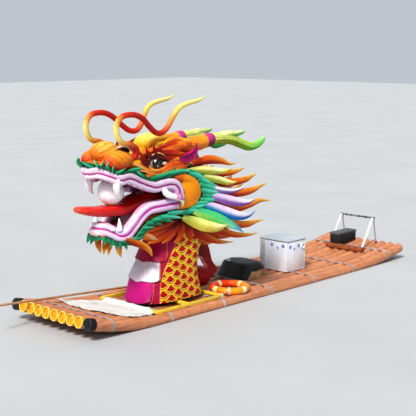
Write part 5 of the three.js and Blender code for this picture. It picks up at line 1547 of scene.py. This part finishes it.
def eyeball():
    """A ball with a black pupil, a brown iris with a dark rim, and a grey white.
    Their edges are angles from the middle of the pupil, in degrees."""
    bm = ball(48, 32)
    tint = bm.verts.layers.float_color["tint"]
    for v in bm.verts:
        out = math.degrees(math.acos(min(max(v.co.z, -1), 1)))
        low = max(-v.co.y, 0)
        if out < PUPIL_EDGE:
            colour = srgb("#060505")
        elif out < IRIS_RIM:
            colour = blend_colour(srgb("#24150f"), srgb("#8a5230"), low * (out - PUPIL_EDGE) / PUPIL_EDGE)
        elif out < IRIS_EDGE:
            colour = srgb("#0d0807")
        else:
            colour = blend_colour(srgb("#4e463f"), srgb("#c8b8af"), min((out - IRIS_EDGE) / 25, 1))
        v[tint] = colour
    aim = Matrix.Rotation(math.radians(-16), 4, "Z") @ Matrix.Rotation(math.radians(-90), 4, "X")
    return moved(bm, placed(IRIS, (0.118, 0.088, 0.108)) @ aim)


UPPER_LID = [
    (1.525, 0.42, 2.63), (1.575, 0.44, 2.70), (1.68, 0.455, 2.745), (1.80, 0.455, 2.73), (1.90, 0.45, 2.67),
    (1.99, 0.44, 2.60),
]
LOWER_LID = [
    (1.53, 0.42, 2.61), (1.585, 0.435, 2.545), (1.68, 0.45, 2.505), (1.80, 0.45, 2.508),
    (1.89, 0.445, 2.545), (1.98, 0.44, 2.59),
]
eye_parts = [
    dyed(orb(1.75, 0.385, 2.62, 0.225, 0.056, 0.112, 40, 20), "#1b0c0a"),
    eyeball(),
    dyed(orb(1.895, 0.422, 2.60, 0.058, 0.024, 0.032, 20, 12), "#f0cdc4"),
    # A small white spot and a greyer spot below it are the eye's painted highlight and painted reflection.
    dyed(orb(1.645, 0.474, 2.66, 0.026, 0.008, 0.022, 16, 10), "#ffffff"),
    dyed(orb(1.70, 0.474, 2.575, 0.016, 0.006, 0.010, 16, 10), "#c9b8ac"),
]
for line, lift, halves, colours in (
    (UPPER_LID, 0.0, (0.008, 0.014, 0.018, 0.017, 0.014, 0.008), ("#120908",)),
    (UPPER_LID, 0.036, (0.004, 0.010, 0.013, 0.013, 0.010, 0.004),
     ("#c9742a", "#f2b266", "#e09a4c", "#b5531c")),
    (LOWER_LID, 0.0, (0.005, 0.013, 0.016, 0.015, 0.012, 0.006),
     ("#f08a2c", "#f8b04a", "#f29a3a", "#e0702a")),
):
    lid_rows = [(x, w, z + lift, half) for (x, w, z), half in zip(line, halves)]
    eye_parts.append(sweep(lid_rows, steps=20, colours=colours))
eyes = [side for part in eye_parts for side in both_sides(part)]
piece("eyes", eyes, gloss, FIGUREHEAD, replaces=["eye_far", "eye_near"], sharp=60)

# Figurehead: flames and folds
# Carved flames grow from the brows and under the eyes, a rim runs round each cheek, and the throat
# hangs in folds over the top of the neck. Rows are (x, away from the middle, z, half width).


def carved(rows, colours, under=None, flat=0.45, sides=16, grooves=0):
    """A tapering lock on both sides of the head, with lengthwise grooves in it."""
    ring = unit_ring(sides)
    if grooves:
        for v in ring.verts:
            v.co *= 1 + 0.10 * math.cos(grooves * math.atan2(v.co.y, v.co.x))
    return both_sides(sweep(rows, steps=4 * len(rows), flat=flat, colours=colours, under=under, ring=ring))


BROW_FLAME = ("#6f0708", "#8f0c0c", "#c0200e", "#dd4512", "#ee7a1e", "#e0561a")
EYE_FLAME = ("#e8641a", "#f08426", "#f5a23a", "#f9c25c", "#fbe09a")
flames = []
# Ridges run over the forehead like the ribs of a shell.
for w, low in ((0.025, 2.83), (0.078, 2.82), (0.128, 2.82), (0.170, 2.83)):
    dome = [(1.765 + 0.10 * w, w, low, 0.018), (1.80, w, 2.90, 0.034),
        (1.92, w, 3.00 - 0.5 * w ** 2, 0.040), (2.07, w, 3.032 - 1.5 * w ** 2, 0.040),
        (2.25, w, 3.005 - 1.5 * w ** 2, 0.026)]
    flames += carved(dome, ("#f2a21e", "#f9cc3a", "#fde680", "#fbd24a", "#f5a826"),
        under=("#e88a18", "#f4b42a", "#f9cc48", "#f4b030"), flat=0.7, grooves=2)
for rows in (
    [(1.57, 0.42, 2.62, 0.040), (1.49, 0.43, 2.67, 0.042), (1.42, 0.43, 2.74, 0.030),
     (1.37, 0.43, 2.82, 0.004)],
    [(1.62, 0.42, 2.68, 0.044), (1.56, 0.44, 2.74, 0.044), (1.51, 0.44, 2.81, 0.032),
     (1.48, 0.43, 2.885, 0.004)],
    [(1.72, 0.42, 2.71, 0.046), (1.68, 0.45, 2.78, 0.046), (1.65, 0.45, 2.85, 0.034),
     (1.64, 0.43, 2.93, 0.005)],
    [(1.84, 0.42, 2.74, 0.046), (1.80, 0.45, 2.79, 0.040), (1.77, 0.45, 2.84, 0.026),
     (1.77, 0.43, 2.89, 0.005)],
    [(1.50, 0.42, 2.60, 0.034), (1.43, 0.43, 2.64, 0.032), (1.39, 0.43, 2.68, 0.020),
     (1.37, 0.42, 2.73, 0.004)],
):
    flames += carved(rows, ("#7d0a0a", "#6f0708", "#8a0d0c", "#a81410"))
for rows, colours in (
    ([(1.56, 0.425, 2.74, 0.040), (1.71, 0.425, 2.81, 0.045), (1.89, 0.425, 2.86, 0.046),
     (2.12, 0.42, 2.89, 0.041), (2.39, 0.415, 2.85, 0.030), (2.65, 0.41, 2.83, 0.006)], BROW_FLAME),
    ([(1.59, 0.435, 2.75, 0.034), (1.81, 0.435, 2.78, 0.046), (2.03, 0.44, 2.78, 0.046),
     (2.25, 0.445, 2.73, 0.035), (2.45, 0.445, 2.71, 0.006)], ("#7d0a0a", "#a3120c", "#d02a10", "#e85a1c",
     "#ee7a1e")),
    ([(1.65, 0.445, 2.74, 0.024), (1.83, 0.45, 2.71, 0.034), (2.01, 0.455, 2.68, 0.030),
     (2.19, 0.455, 2.69, 0.005)], ("#6f0708", "#8f0c0c", "#b81a0e", "#d83c14")),
    ([(1.90, 0.40, 2.90, 0.020), (2.10, 0.385, 2.945, 0.030), (2.32, 0.375, 2.93, 0.030),
     (2.55, 0.37, 2.88, 0.020), (2.75, 0.37, 2.84, 0.004)], ("#f08a20", "#e8641a", "#f29428", "#f6a834")),
    ([(1.98, 0.42, 2.84, 0.020), (2.20, 0.415, 2.845, 0.036), (2.42, 0.405, 2.80, 0.036),
     (2.66, 0.39, 2.79, 0.026), (2.86, 0.37, 2.80, 0.006)], ("#c0200e", "#dd4512", "#ee7a1e", "#f29428")),
):
    flames += carved(rows, colours, grooves=3)
for rows in (
    [(2.20, 0.445, 2.62, 0.016), (2.07, 0.45, 2.59, 0.039), (1.98, 0.45, 2.53, 0.034),
     (1.80, 0.445, 2.48, 0.030), (1.58, 0.435, 2.51, 0.022), (1.37, 0.42, 2.60, 0.025),
     (1.22, 0.40, 2.66, 0.004)],
    [(1.95, 0.45, 2.51, 0.023), (1.80, 0.445, 2.46, 0.034), (1.62, 0.44, 2.46, 0.029),
     (1.48, 0.43, 2.51, 0.022), (1.34, 0.41, 2.53, 0.004)],
    [(2.31, 0.455, 2.58, 0.019), (2.08, 0.46, 2.54, 0.046), (1.90, 0.455, 2.50, 0.046),
     (1.83, 0.45, 2.44, 0.024), (1.77, 0.45, 2.39, 0.004)],
    [(2.43, 0.46, 2.54, 0.017), (2.23, 0.465, 2.51, 0.035), (2.14, 0.465, 2.48, 0.027),
     (2.09, 0.46, 2.43, 0.004)],
    [(2.00, 0.45, 2.63, 0.013), (2.16, 0.455, 2.64, 0.038), (2.35, 0.455, 2.61, 0.033),
     (2.52, 0.455, 2.54, 0.010)],
    [(1.72, 0.435, 2.47, 0.020), (1.60, 0.435, 2.44, 0.028), (1.50, 0.43, 2.43, 0.020),
     (1.42, 0.42, 2.46, 0.004)],
):
    flames += carved(rows, EYE_FLAME, under=("#d03a12", "#e05a1a", "#e8701c", "#f5a23a"), grooves=2)
FOLD = ("#8a1e04", "#c04208", "#dd5c0c", "#ea7a14", "#f2a024")
# The folds are drawn long and pressed up to 0.4 of their fall below this height.
FOLD_LOW = 1.22
for rows in (
    [(2.31, 0.30, 1.62, 0.064), (1.93, 0.335, 1.57, 0.063), (1.64, 0.35, 1.54, 0.048),
     (1.44, 0.365, 1.47, 0.014)],
    [(2.24, 0.30, 1.57, 0.059), (1.89, 0.335, 1.48, 0.058), (1.60, 0.36, 1.42, 0.043),
     (1.43, 0.37, 1.42, 0.009)],
    [(2.25, 0.32, 1.55, 0.059), (1.98, 0.355, 1.42, 0.053), (1.76, 0.365, 1.35, 0.038),
     (1.56, 0.375, 1.32, 0.010)],
    [(2.30, 0.34, 1.57, 0.059), (2.13, 0.375, 1.43, 0.054), (2.02, 0.38, 1.34, 0.034),
     (1.87, 0.38, 1.28, 0.010)],
    [(2.34, 0.34, 1.62, 0.064), (2.33, 0.375, 1.45, 0.059), (2.26, 0.38, 1.31, 0.039),
     (2.15, 0.37, 1.25, 0.012)],
    [(2.44, 0.34, 1.60, 0.069), (2.51, 0.375, 1.42, 0.064), (2.54, 0.38, 1.27, 0.036),
     (2.52, 0.37, 1.21, 0.010)],
    [(2.55, 0.34, 1.59, 0.069), (2.71, 0.36, 1.40, 0.065), (2.81, 0.36, 1.25, 0.038),
     (2.86, 0.35, 1.17, 0.010)],
    [(2.62, 0.33, 1.53, 0.065), (2.81, 0.34, 1.38, 0.060), (2.94, 0.33, 1.26, 0.038),
     (2.97, 0.30, 1.16, 0.010)],
    [(2.55, 0.28, 1.70, 0.060), (2.86, 0.20, 1.46, 0.075), (2.98, 0.14, 1.28, 0.050),
     (3.00, 0.10, 1.18, 0.012)],
    [(1.90, 0.24, 1.56, 0.055), (1.78, 0.20, 1.42, 0.060), (1.80, 0.14, 1.30, 0.030),
     (1.84, 0.10, 1.22, 0.008)],
):
    rows = [(x, w, max(z, FOLD_LOW + 0.4 * (z - FOLD_LOW)), h * 1.4) for x, w, z, h in rows]
    flames += carved(rows, FOLD, under=("#640a04", "#8a1c04", "#b03c08", "#d0660e"), flat=0.6, grooves=4)
for rows in (
    [(1.07, 0.06, 1.42, 0.054), (1.005, 0.058, 1.28, 0.046), (0.985, 0.056, 1.16, 0.005)],
    [(1.035, 0.25, 1.41, 0.058), (1.045, 0.25, 1.27, 0.052), (1.09, 0.25, 1.142, 0.005)],
):
    flames += carved(rows, ("#b8560e", "#e27a18", "#f2a82c", "#f7c84a"), flat=0.7, grooves=3)
flames += carved([(1.10, 0.34, 1.43, 0.048), (1.28, 0.37, 1.37, 0.056), (1.45, 0.39, 1.30, 0.055),
    (1.56, 0.41, 1.21, 0.042), (1.61, 0.42, 1.10, 0.006)], ("#a8480c", "#d9701a", "#ee9a2c", "#f7c050",
    "#fbdf8a"), under=("#7d1a08", "#b4480e", "#dd7a1c", "#f2a83c"), flat=0.6, grooves=3)
flames += carved([(1.40, 0.36, 1.50, 0.040), (1.52, 0.375, 1.46, 0.044), (1.66, 0.385, 1.40, 0.036),
    (1.80, 0.39, 1.33, 0.005)], ("#b4480e", "#e08a4a", "#f2c08a", "#e08a3c"), flat=0.6, grooves=3)
piece("flames_and_folds", flames, resin, FIGUREHEAD, sharp=180)

# Figurehead: leaf fringe
# A fringe of carved green leaves follows both lips and fans out behind the cheek. The leaves are
# glued on one by one along a thin green roll.
LEAF_GREENS = (("#189468", "#30c08c", "#74e4bc"), ("#1ea678", "#46cea0", "#98eed0"),
    ("#24b890", "#5cdcbc", "#b8f6e6"))
FRINGE_TOP = [
    (0.612, 0.0, 2.655), (0.670, 0.06, 2.645), (0.787, 0.31, 2.60), (0.99, 0.385, 2.51),
    (1.19, 0.405, 2.52), (1.38, 0.42, 2.43), (1.60, 0.44, 2.345), (1.84, 0.45, 2.345), (2.08, 0.46, 2.40),
    (2.40, 0.475, 2.43), (2.72, 0.485, 2.32), (2.87, 0.49, 2.08), (2.76, 0.48, 1.88), (2.47, 0.47, 1.765),
    (2.20, 0.455, 1.76),
]
FRINGE_LOW = [
    (0.761, 0.02, 1.49), (0.833, 0.20, 1.45), (0.99, 0.30, 1.37), (1.24, 0.355, 1.385), (1.37, 0.375, 1.50),
    (1.54, 0.395, 1.64), (1.84, 0.425, 1.74), (2.15, 0.45, 1.755), (2.35, 0.46, 1.77),
]
leaves = carved([(*p, h) for p, h in zip(FRINGE_TOP, (0.012, 0.022, 0.026, 0.028, 0.030, 0.034, 0.036,
    0.034, 0.030, 0.034, 0.045, 0.055, 0.045, 0.034, 0.02))], ("#128a5c", "#0e7048", "#0c6842", "#0b6440",
    "#0d7850", "#12906a", "#28b088", "#34bc94", "#20a47a"), flat=0.7)
leaves += carved([(*p, 0.028) for p in FRINGE_LOW], ("#1c9a6a", "#178a5a", "#14805a", "#18a07e", "#128a60"),
    flat=0.7)
LEAVES = [
    [(0.720, 0.13, 2.60, 0.030), (0.640, 0.11, 2.635, 0.036), (0.55, 0.08, 2.675, 0.026),
     (0.470, 0.05, 2.715, 0.003)],
    [(0.657, 0.24, 2.64, 0.026), (0.625, 0.22, 2.70, 0.022), (0.599, 0.20, 2.75, 0.003)],
    [(0.690, 0.27, 2.63, 0.026), (0.703, 0.29, 2.68, 0.020), (0.722, 0.28, 2.74, 0.003)],
    [(0.800, 0.345, 2.58, 0.026), (0.748, 0.365, 2.63, 0.022), (0.729, 0.37, 2.68, 0.018),
     (0.768, 0.37, 2.71, 0.003)],
    [(0.853, 0.365, 2.54, 0.026), (0.827, 0.385, 2.59, 0.020), (0.840, 0.39, 2.65, 0.003)],
    [(0.898, 0.385, 2.52, 0.028), (0.97, 0.40, 2.54, 0.024), (1.08, 0.405, 2.59, 0.003)],
    [(1.12, 0.40, 2.52, 0.030), (1.26, 0.415, 2.55, 0.028), (1.44, 0.42, 2.56, 0.004)],
    [(1.47, 0.435, 2.41, 0.030), (1.37, 0.43, 2.47, 0.026), (1.29, 0.42, 2.54, 0.004)],
    [(1.58, 0.445, 2.37, 0.030), (1.70, 0.45, 2.40, 0.026), (1.80, 0.45, 2.45, 0.003)],
    [(1.82, 0.455, 2.37, 0.030), (2.00, 0.46, 2.42, 0.030), (2.16, 0.465, 2.50, 0.003)],
    [(1.60, 0.46, 2.38, 0.030), (1.86, 0.465, 2.41, 0.034), (2.14, 0.47, 2.49, 0.004)],
    [(2.00, 0.475, 2.41, 0.032), (2.26, 0.485, 2.44, 0.038), (2.53, 0.49, 2.40, 0.008)],
    [(2.41, 0.49, 2.39, 0.030), (2.59, 0.505, 2.34, 0.044), (2.80, 0.52, 2.24, 0.007)],
    [(2.60, 0.50, 2.28, 0.038), (2.80, 0.52, 2.21, 0.042), (3.05, 0.54, 2.12, 0.006)],
    [(2.64, 0.50, 2.19, 0.038), (2.88, 0.525, 2.12, 0.042), (3.17, 0.55, 1.99, 0.006)],
    [(2.68, 0.505, 2.09, 0.040), (2.85, 0.53, 2.04, 0.044), (3.10, 0.55, 2.01, 0.006)],
    [(2.72, 0.50, 2.00, 0.040), (2.91, 0.53, 1.97, 0.044), (3.12, 0.55, 1.98, 0.008)],
    [(2.66, 0.50, 1.92, 0.040), (2.88, 0.53, 1.90, 0.042), (3.10, 0.55, 1.93, 0.008)],
    [(2.56, 0.49, 1.86, 0.040), (2.77, 0.52, 1.87, 0.038), (2.94, 0.53, 1.91, 0.007)],
    [(2.44, 0.48, 1.80, 0.044), (2.65, 0.51, 1.81, 0.040), (2.83, 0.53, 1.86, 0.007)],
    [(2.26, 0.47, 1.75, 0.044), (2.50, 0.495, 1.76, 0.040), (2.74, 0.52, 1.81, 0.007)],
    [(1.93, 0.455, 1.77, 0.038), (2.14, 0.47, 1.765, 0.040), (2.48, 0.49, 1.76, 0.007)],
    [(1.80, 0.44, 1.72, 0.038), (2.01, 0.46, 1.71, 0.036), (2.25, 0.47, 1.66, 0.007)],
    [(1.64, 0.42, 1.68, 0.043), (1.84, 0.43, 1.68, 0.038), (2.07, 0.44, 1.62, 0.007)],
    [(1.52, 0.40, 1.64, 0.043), (1.66, 0.41, 1.64, 0.036), (1.84, 0.42, 1.60, 0.007)],
    [(1.44, 0.39, 1.57, 0.043), (1.54, 0.40, 1.58, 0.036), (1.68, 0.40, 1.57, 0.007)],
    [(1.35, 0.38, 1.49, 0.042), (1.48, 0.385, 1.52, 0.036), (1.60, 0.38, 1.54, 0.007)],
    [(1.24, 0.365, 1.41, 0.040), (1.40, 0.375, 1.44, 0.036), (1.55, 0.375, 1.50, 0.007)],
    [(1.05, 0.34, 1.40, 0.038), (1.26, 0.36, 1.36, 0.036), (1.44, 0.37, 1.30, 0.007)],
    [(0.98, 0.32, 1.42, 0.038), (0.975, 0.33, 1.355, 0.033), (0.937, 0.33, 1.295, 0.007)],
    [(1.08, 0.335, 1.40, 0.036), (1.11, 0.345, 1.34, 0.032), (1.13, 0.345, 1.27, 0.007)],
    [(0.885, 0.27, 1.47, 0.038), (0.872, 0.285, 1.405, 0.033), (0.833, 0.285, 1.34, 0.007)],
    [(0.827, 0.20, 1.51, 0.036), (0.810, 0.215, 1.445, 0.031), (0.768, 0.215, 1.38, 0.007)],
    [(0.787, 0.12, 1.52, 0.035), (0.752, 0.11, 1.485, 0.030), (0.713, 0.08, 1.43, 0.007)],
    [(0.774, 0.03, 1.53, 0.032), (0.742, 0.03, 1.47, 0.028), (0.722, 0.02, 1.42, 0.006)],
]
LEAF_SHADES = (("#0a5a3a", "#107c54", "#22aa7c"), ("#16906a", "#2cb88e", "#5ed8b4"))
for k, rows in enumerate(LEAVES):
    behind_cheek = 12 <= k <= 22
    leaves += carved(rows, LEAF_GREENS[2 if behind_cheek else k % 2], under=LEAF_SHADES[behind_cheek],
        flat=0.5, grooves=2)
piece("leaf_fringe", leaves, resin, FIGUREHEAD, sharp=180)

# Figurehead: ears and horns
# The ears are cupped magenta leaves. Each horn is a ridged pole with a short branch, set in a
# carved sleeve with a magenta ring round the joint.
ears = carved([(2.19, 0.47, 2.65, 0.018), (2.31, 0.49, 2.66, 0.068), (2.44, 0.505, 2.69, 0.085),
    (2.545, 0.51, 2.78, 0.052), (2.545, 0.515, 2.90, 0.004)], ("#6e0a3c", "#a50d62", "#d81a8a", "#c0167c",
    "#6e0a3c"), under=("#a50d62", "#d81488", "#f02aa8", "#e021a0"), flat=0.30, grooves=3)
ears += carved([(2.24, 0.52, 2.665, 0.012), (2.34, 0.535, 2.675, 0.036), (2.44, 0.545, 2.705, 0.046),
    (2.52, 0.54, 2.79, 0.026), (2.54, 0.53, 2.87, 0.003)], ("#4a0628", "#6a0838", "#7d0a48", "#6a0838"),
    under=("#8a0d52", "#c01478", "#d81a8a"), flat=0.25)
piece("ears", ears, resin, FIGUREHEAD, replaces=["ear_far", "ear_near"], sharp=180)

HORN_PARTS = [
    ([(2.45, 0.31, 2.85, 0.085), (2.62, 0.32, 2.855, 0.118), (2.80, 0.325, 2.865, 0.128),
     (2.94, 0.332, 2.887, 0.116)], ("#f08a1a", "#f29a24", "#f7b240"), ("#d9601a", "#e8801c", "#ee9424"),
     0.95, 28, 0),
    ([(2.93, 0.332, 2.887, 0.114), (2.945, 0.332, 2.889, 0.122), (3.055, 0.335, 2.905, 0.116),
     (3.07, 0.335, 2.907, 0.106)], ("#e05aa8", "#c01478"), ("#7d0a48", "#6a0838"), 0.98, 28, 0),
    ([(3.04, 0.335, 2.905, 0.097), (3.20, 0.34, 2.912, 0.092), (3.38, 0.35, 2.908, 0.089),
     (3.58, 0.36, 2.872, 0.086), (3.79, 0.37, 2.795, 0.079), (4.00, 0.38, 2.725, 0.074),
     (4.17, 0.39, 2.725, 0.065), (4.30, 0.395, 2.775, 0.055), (4.385, 0.40, 2.835, 0.040),
     (4.415, 0.40, 2.868, 0.013)], ("#eef49c", "#e6f288", "#dcf07c", "#d0ec70", "#bfe866", "#a4e064",
     "#8edc6c", "#a5e88a", "#c8f0b0"), ("#b7b83c", "#a6ac2c", "#98a828", "#86ac2c", "#6cb830", "#3cc044",
     "#20b83c", "#18b03c"), 0.98, 32, 9),
    ([(3.30, 0.35, 2.93, 0.077), (3.48, 0.36, 2.965, 0.066), (3.68, 0.375, 2.97, 0.052),
     (3.82, 0.39, 2.985, 0.037), (3.885, 0.40, 2.993, 0.011)], ("#eef0a8", "#eaf2b4", "#dff0b0", "#c9ecb0"),
     ("#a6b43c", "#7cc048", "#3cc050", "#22b844"), 0.9, 24, 7),
    ([(3.06, 0.335, 2.83, 0.040), (3.20, 0.335, 2.80, 0.057), (3.36, 0.34, 2.81, 0.042),
     (3.47, 0.345, 2.845, 0.009)], ("#5cb84a", "#8ad070", "#6cc858"), ("#2c9a3c", "#38b04c", "#4cc060"),
     0.8, 20, 4),
]
horns = []
for rows, over, below, flat, sides, grooves in HORN_PARTS:
    horns += carved(rows, over, below, flat, sides, grooves)
piece("horns", horns, resin, FIGUREHEAD, replaces=["horn_far", "horn_near"], sharp=60)

# Figurehead: whiskers
# Two long whiskers of bent steel rod, wrapped in foam and skinned, loop over the nose and rise to
# pale tips. They are sprayed red and yellow in turn.
WHISKER = [
    (1.22, 0.335, 2.69, 0.038), (1.31, 0.345, 2.735, 0.047), (1.35, 0.362, 2.83, 0.049),
    (1.29, 0.368, 2.905, 0.048), (1.17, 0.369, 2.955, 0.046), (1.05, 0.368, 2.98, 0.045),
    (0.965, 0.367, 3.06, 0.045), (0.92, 0.366, 3.19, 0.046), (0.955, 0.366, 3.32, 0.046),
    (1.07, 0.368, 3.40, 0.046), (1.29, 0.369, 3.41, 0.047), (1.48, 0.360, 3.34, 0.047),
    (1.64, 0.340, 3.21, 0.047), (1.80, 0.320, 3.10, 0.047), (1.95, 0.312, 3.085, 0.047),
    (2.07, 0.320, 3.17, 0.046), (2.18, 0.345, 3.34, 0.045), (2.31, 0.365, 3.48, 0.043),
    (2.52, 0.369, 3.545, 0.038), (2.74, 0.369, 3.58, 0.031), (2.93, 0.368, 3.645, 0.006),
]
WHISKER_TONES = ("#c01a16", "#d02018", "#b5181c", "#c23a20", "#e0703a", "#eeb050", "#f3df80", "#f4e38c",
    "#eda64a", "#dc3c24", "#cc2a20", "#c4241e", "#c4241e", "#cc2a20", "#d83c24", "#e0703a", "#f0b452",
    "#f4e27c", "#f6ec92", "#f6ee98", "#f8f2a8")
whiskers = both_sides(sweep(WHISKER, sides=24, steps=140, colours=WHISKER_TONES))
piece("whiskers", whiskers, resin, FIGUREHEAD, replaces=["whisker_far", "whisker_near"],
    sharp=180)

# Figurehead: mane
# The mane is two layers of carved locks: short ones in changing colours in front, sprayed from
# lime to violet, blue and green, and long red-orange ones with yellow tips behind.
MANE_FRONT = [
    ([(2.30, 0.45, 2.43, 0.022), (2.55, 0.48, 2.44, 0.045), (2.80, 0.54, 2.42, 0.056),
     (2.98, 0.59, 2.39, 0.050), (3.12, 0.65, 2.385, 0.034), (3.21, 0.70, 2.425, 0.006)],
     ("#dde060", "#e9ea80", "#f4f2a8", "#f8f6c4", "#f1e88c", "#e5d860"),
     ("#a6b42c", "#b8be3c", "#c6c84c", "#c4bc3c")),
    ([(2.55, 0.45, 2.34, 0.028), (2.76, 0.50, 2.31, 0.052), (2.98, 0.57, 2.25, 0.058),
     (3.15, 0.63, 2.195, 0.048), (3.26, 0.69, 2.175, 0.026), (3.34, 0.72, 2.19, 0.006)],
     ("#cfe070", "#e4ec8c", "#f4f4b0", "#f6f2a4", "#ece070"), ("#7cae3c", "#9cb840", "#b8bc3c", "#c4b02c")),
    ([(2.72, 0.47, 2.16, 0.022), (2.96, 0.52, 2.09, 0.044), (3.18, 0.59, 2.035, 0.050),
     (3.34, 0.65, 2.025, 0.040), (3.45, 0.71, 2.055, 0.020), (3.52, 0.74, 2.095, 0.006)],
     ("#e6e4ee", "#f4f2f8", "#fdfcff", "#fcf6ff", "#ffffff"), ("#9a94b0", "#8a78b8", "#7058a8", "#6a4ca0",
     "#8c70b8")),
    ([(2.72, 0.48, 2.02, 0.032), (2.98, 0.54, 1.945, 0.062), (3.24, 0.61, 1.865, 0.078),
     (3.46, 0.69, 1.81, 0.062), (3.62, 0.745, 1.805, 0.034), (3.75, 0.77, 1.85, 0.008)],
     ("#c9aee0", "#d9bfea", "#e8d4f4", "#f0dff8", "#f6ecfc", "#fbf4ff"), ("#a685c8", "#9a70c0", "#8a58b4",
     "#7a4aa8", "#8c60b8")),
    ([(2.66, 0.48, 1.88, 0.042), (2.94, 0.545, 1.765, 0.074), (3.22, 0.615, 1.645, 0.088),
     (3.44, 0.695, 1.575, 0.070), (3.62, 0.75, 1.575, 0.038), (3.76, 0.77, 1.64, 0.008)],
     ("#d6c2ee", "#e2d0f4", "#efe2fa", "#f0e4fc", "#c9d6f4", "#a8c8ee"), ("#1c9ac0", "#1690d0", "#107cc8",
     "#0c62b4", "#1458a4")),
    ([(2.42, 0.47, 1.79, 0.040), (2.68, 0.525, 1.69, 0.080), (2.96, 0.60, 1.575, 0.092),
     (3.19, 0.67, 1.465, 0.070), (3.36, 0.72, 1.375, 0.036), (3.47, 0.745, 1.29, 0.008)],
     ("#2cb890", "#48cc8c", "#5ad87c", "#4cc8a0", "#30b0d8", "#2c98dc"), ("#c8e870", "#9ce468", "#6cdc6c",
     "#a8e8a0", "#7cc8e0", "#3ca0e0")),
    ([(2.28, 0.45, 1.66, 0.040), (2.46, 0.485, 1.59, 0.076), (2.68, 0.55, 1.49, 0.094),
     (2.88, 0.62, 1.445, 0.070), (3.02, 0.665, 1.44, 0.034), (3.13, 0.69, 1.455, 0.008)],
     ("#c8e070", "#d8ec80", "#eaf08c", "#f4f0a0", "#f8f4b8", "#f6f2b0"), ("#a8b43c", "#d8d050", "#ecdc60",
     "#f0e47c", "#f4ec9c")),
    ([(2.36, 0.44, 1.60, 0.035), (2.56, 0.47, 1.51, 0.060), (2.78, 0.53, 1.425, 0.062),
     (2.96, 0.59, 1.385, 0.040), (3.10, 0.63, 1.385, 0.006)], ("#c0c848", "#dcd860", "#f0e884", "#f6f0a0",
     "#fbf6c0"), ("#909c2c", "#b0a838", "#c8b840", "#dcc84c")),
]
mane = []
for rows, over, below in MANE_FRONT:
    mane += carved(rows, over, under=below, flat=0.42, sides=20, grooves=4)
MANE_REAR = [
    [(2.46, 0.40, 2.48, 0.03), (2.62, 0.42, 2.53, 0.045), (2.82, 0.43, 2.575, 0.072),
     (3.01, 0.44, 2.575, 0.074), (3.23, 0.46, 2.53, 0.052), (3.43, 0.475, 2.465, 0.024),
     (3.60, 0.48, 2.475, 0.004)],
    [(2.75, 0.38, 2.42, 0.060), (3.00, 0.41, 2.36, 0.060), (3.22, 0.43, 2.315, 0.052),
     (3.43, 0.46, 2.31, 0.049), (3.63, 0.47, 2.33, 0.034), (3.81, 0.48, 2.37, 0.004)],
    [(2.80, 0.36, 2.30, 0.070), (3.08, 0.40, 2.23, 0.064), (3.33, 0.43, 2.165, 0.060),
     (3.60, 0.455, 2.14, 0.064), (3.86, 0.47, 2.16, 0.052), (4.01, 0.47, 2.20, 0.028),
     (4.13, 0.48, 2.24, 0.004)],
    [(2.85, 0.36, 2.04, 0.080), (3.18, 0.40, 1.99, 0.070), (3.50, 0.44, 1.945, 0.066),
     (3.78, 0.46, 1.93, 0.067), (4.04, 0.47, 1.95, 0.055), (4.23, 0.48, 2.00, 0.029),
     (4.41, 0.48, 2.03, 0.005)],
    [(2.85, 0.36, 1.86, 0.080), (3.10, 0.40, 1.77, 0.072), (3.32, 0.43, 1.71, 0.066),
     (3.68, 0.455, 1.67, 0.068), (3.98, 0.47, 1.71, 0.067), (4.25, 0.48, 1.74, 0.036),
     (4.50, 0.48, 1.70, 0.005)],
    [(2.80, 0.36, 1.66, 0.070), (3.05, 0.40, 1.55, 0.064), (3.28, 0.43, 1.46, 0.058),
     (3.60, 0.455, 1.38, 0.062), (3.91, 0.47, 1.35, 0.057), (4.14, 0.47, 1.37, 0.031),
     (4.32, 0.48, 1.37, 0.005)],
    [(2.60, 0.36, 1.51, 0.060), (2.90, 0.40, 1.40, 0.062), (3.24, 0.43, 1.31, 0.063),
     (3.58, 0.45, 1.20, 0.052), (3.92, 0.46, 1.15, 0.030), (4.17, 0.47, 1.15, 0.005)],
    [(2.45, 0.34, 1.46, 0.060), (2.68, 0.37, 1.38, 0.062), (2.92, 0.39, 1.24, 0.070),
     (3.15, 0.42, 1.14, 0.046), (3.37, 0.43, 1.09, 0.023), (3.56, 0.44, 1.07, 0.005)],
]
REAR_OVER = ("#c22c06", "#d84008", "#ea6010", "#f2801c", "#f7a02c", "#fbc84e", "#fde48a")
REAR_UNDER = ("#7a0c04", "#9a1604", "#b42406", "#c83c08", "#dc5c10", "#f0942a", "#f6bc48")
for rows in MANE_REAR:
    mane += carved(rows, REAR_OVER, under=REAR_UNDER, flat=0.5, sides=20, grooves=5)
# Short locks close the back of the head between the two sides.
for rows in MANE_REAR[1:]:
    inner, low = [], []
    for i, (x, w, z, h) in enumerate(rows):
        share = i / len(rows)
        inner.append((x - 0.22 * share, 0.30 - 0.04 * i, z - 0.04, h * 1.1))
        low.append((x - 0.45 * share, 0.13 - 0.012 * i, z + 0.03, h * 1.25))
    mane += carved(inner, REAR_OVER, under=REAR_UNDER, flat=0.6, sides=14, grooves=4)
    mane += carved(low, REAR_OVER, under=REAR_UNDER, flat=0.7, sides=14, grooves=4)
mane += carved([(2.48, 0.39, 2.52, 0.07), (2.68, 0.41, 2.34, 0.09), (2.73, 0.41, 2.08, 0.10),
    (2.66, 0.40, 1.82, 0.09), (2.46, 0.39, 1.68, 0.06)], ("#0c6038", "#0b5c4c", "#0f7d68", "#10805c",
    "#0c6038"), flat=0.5)
piece("mane", mane, resin, FIGUREHEAD, replaces=["mane_far", "mane_near"], sharp=180)
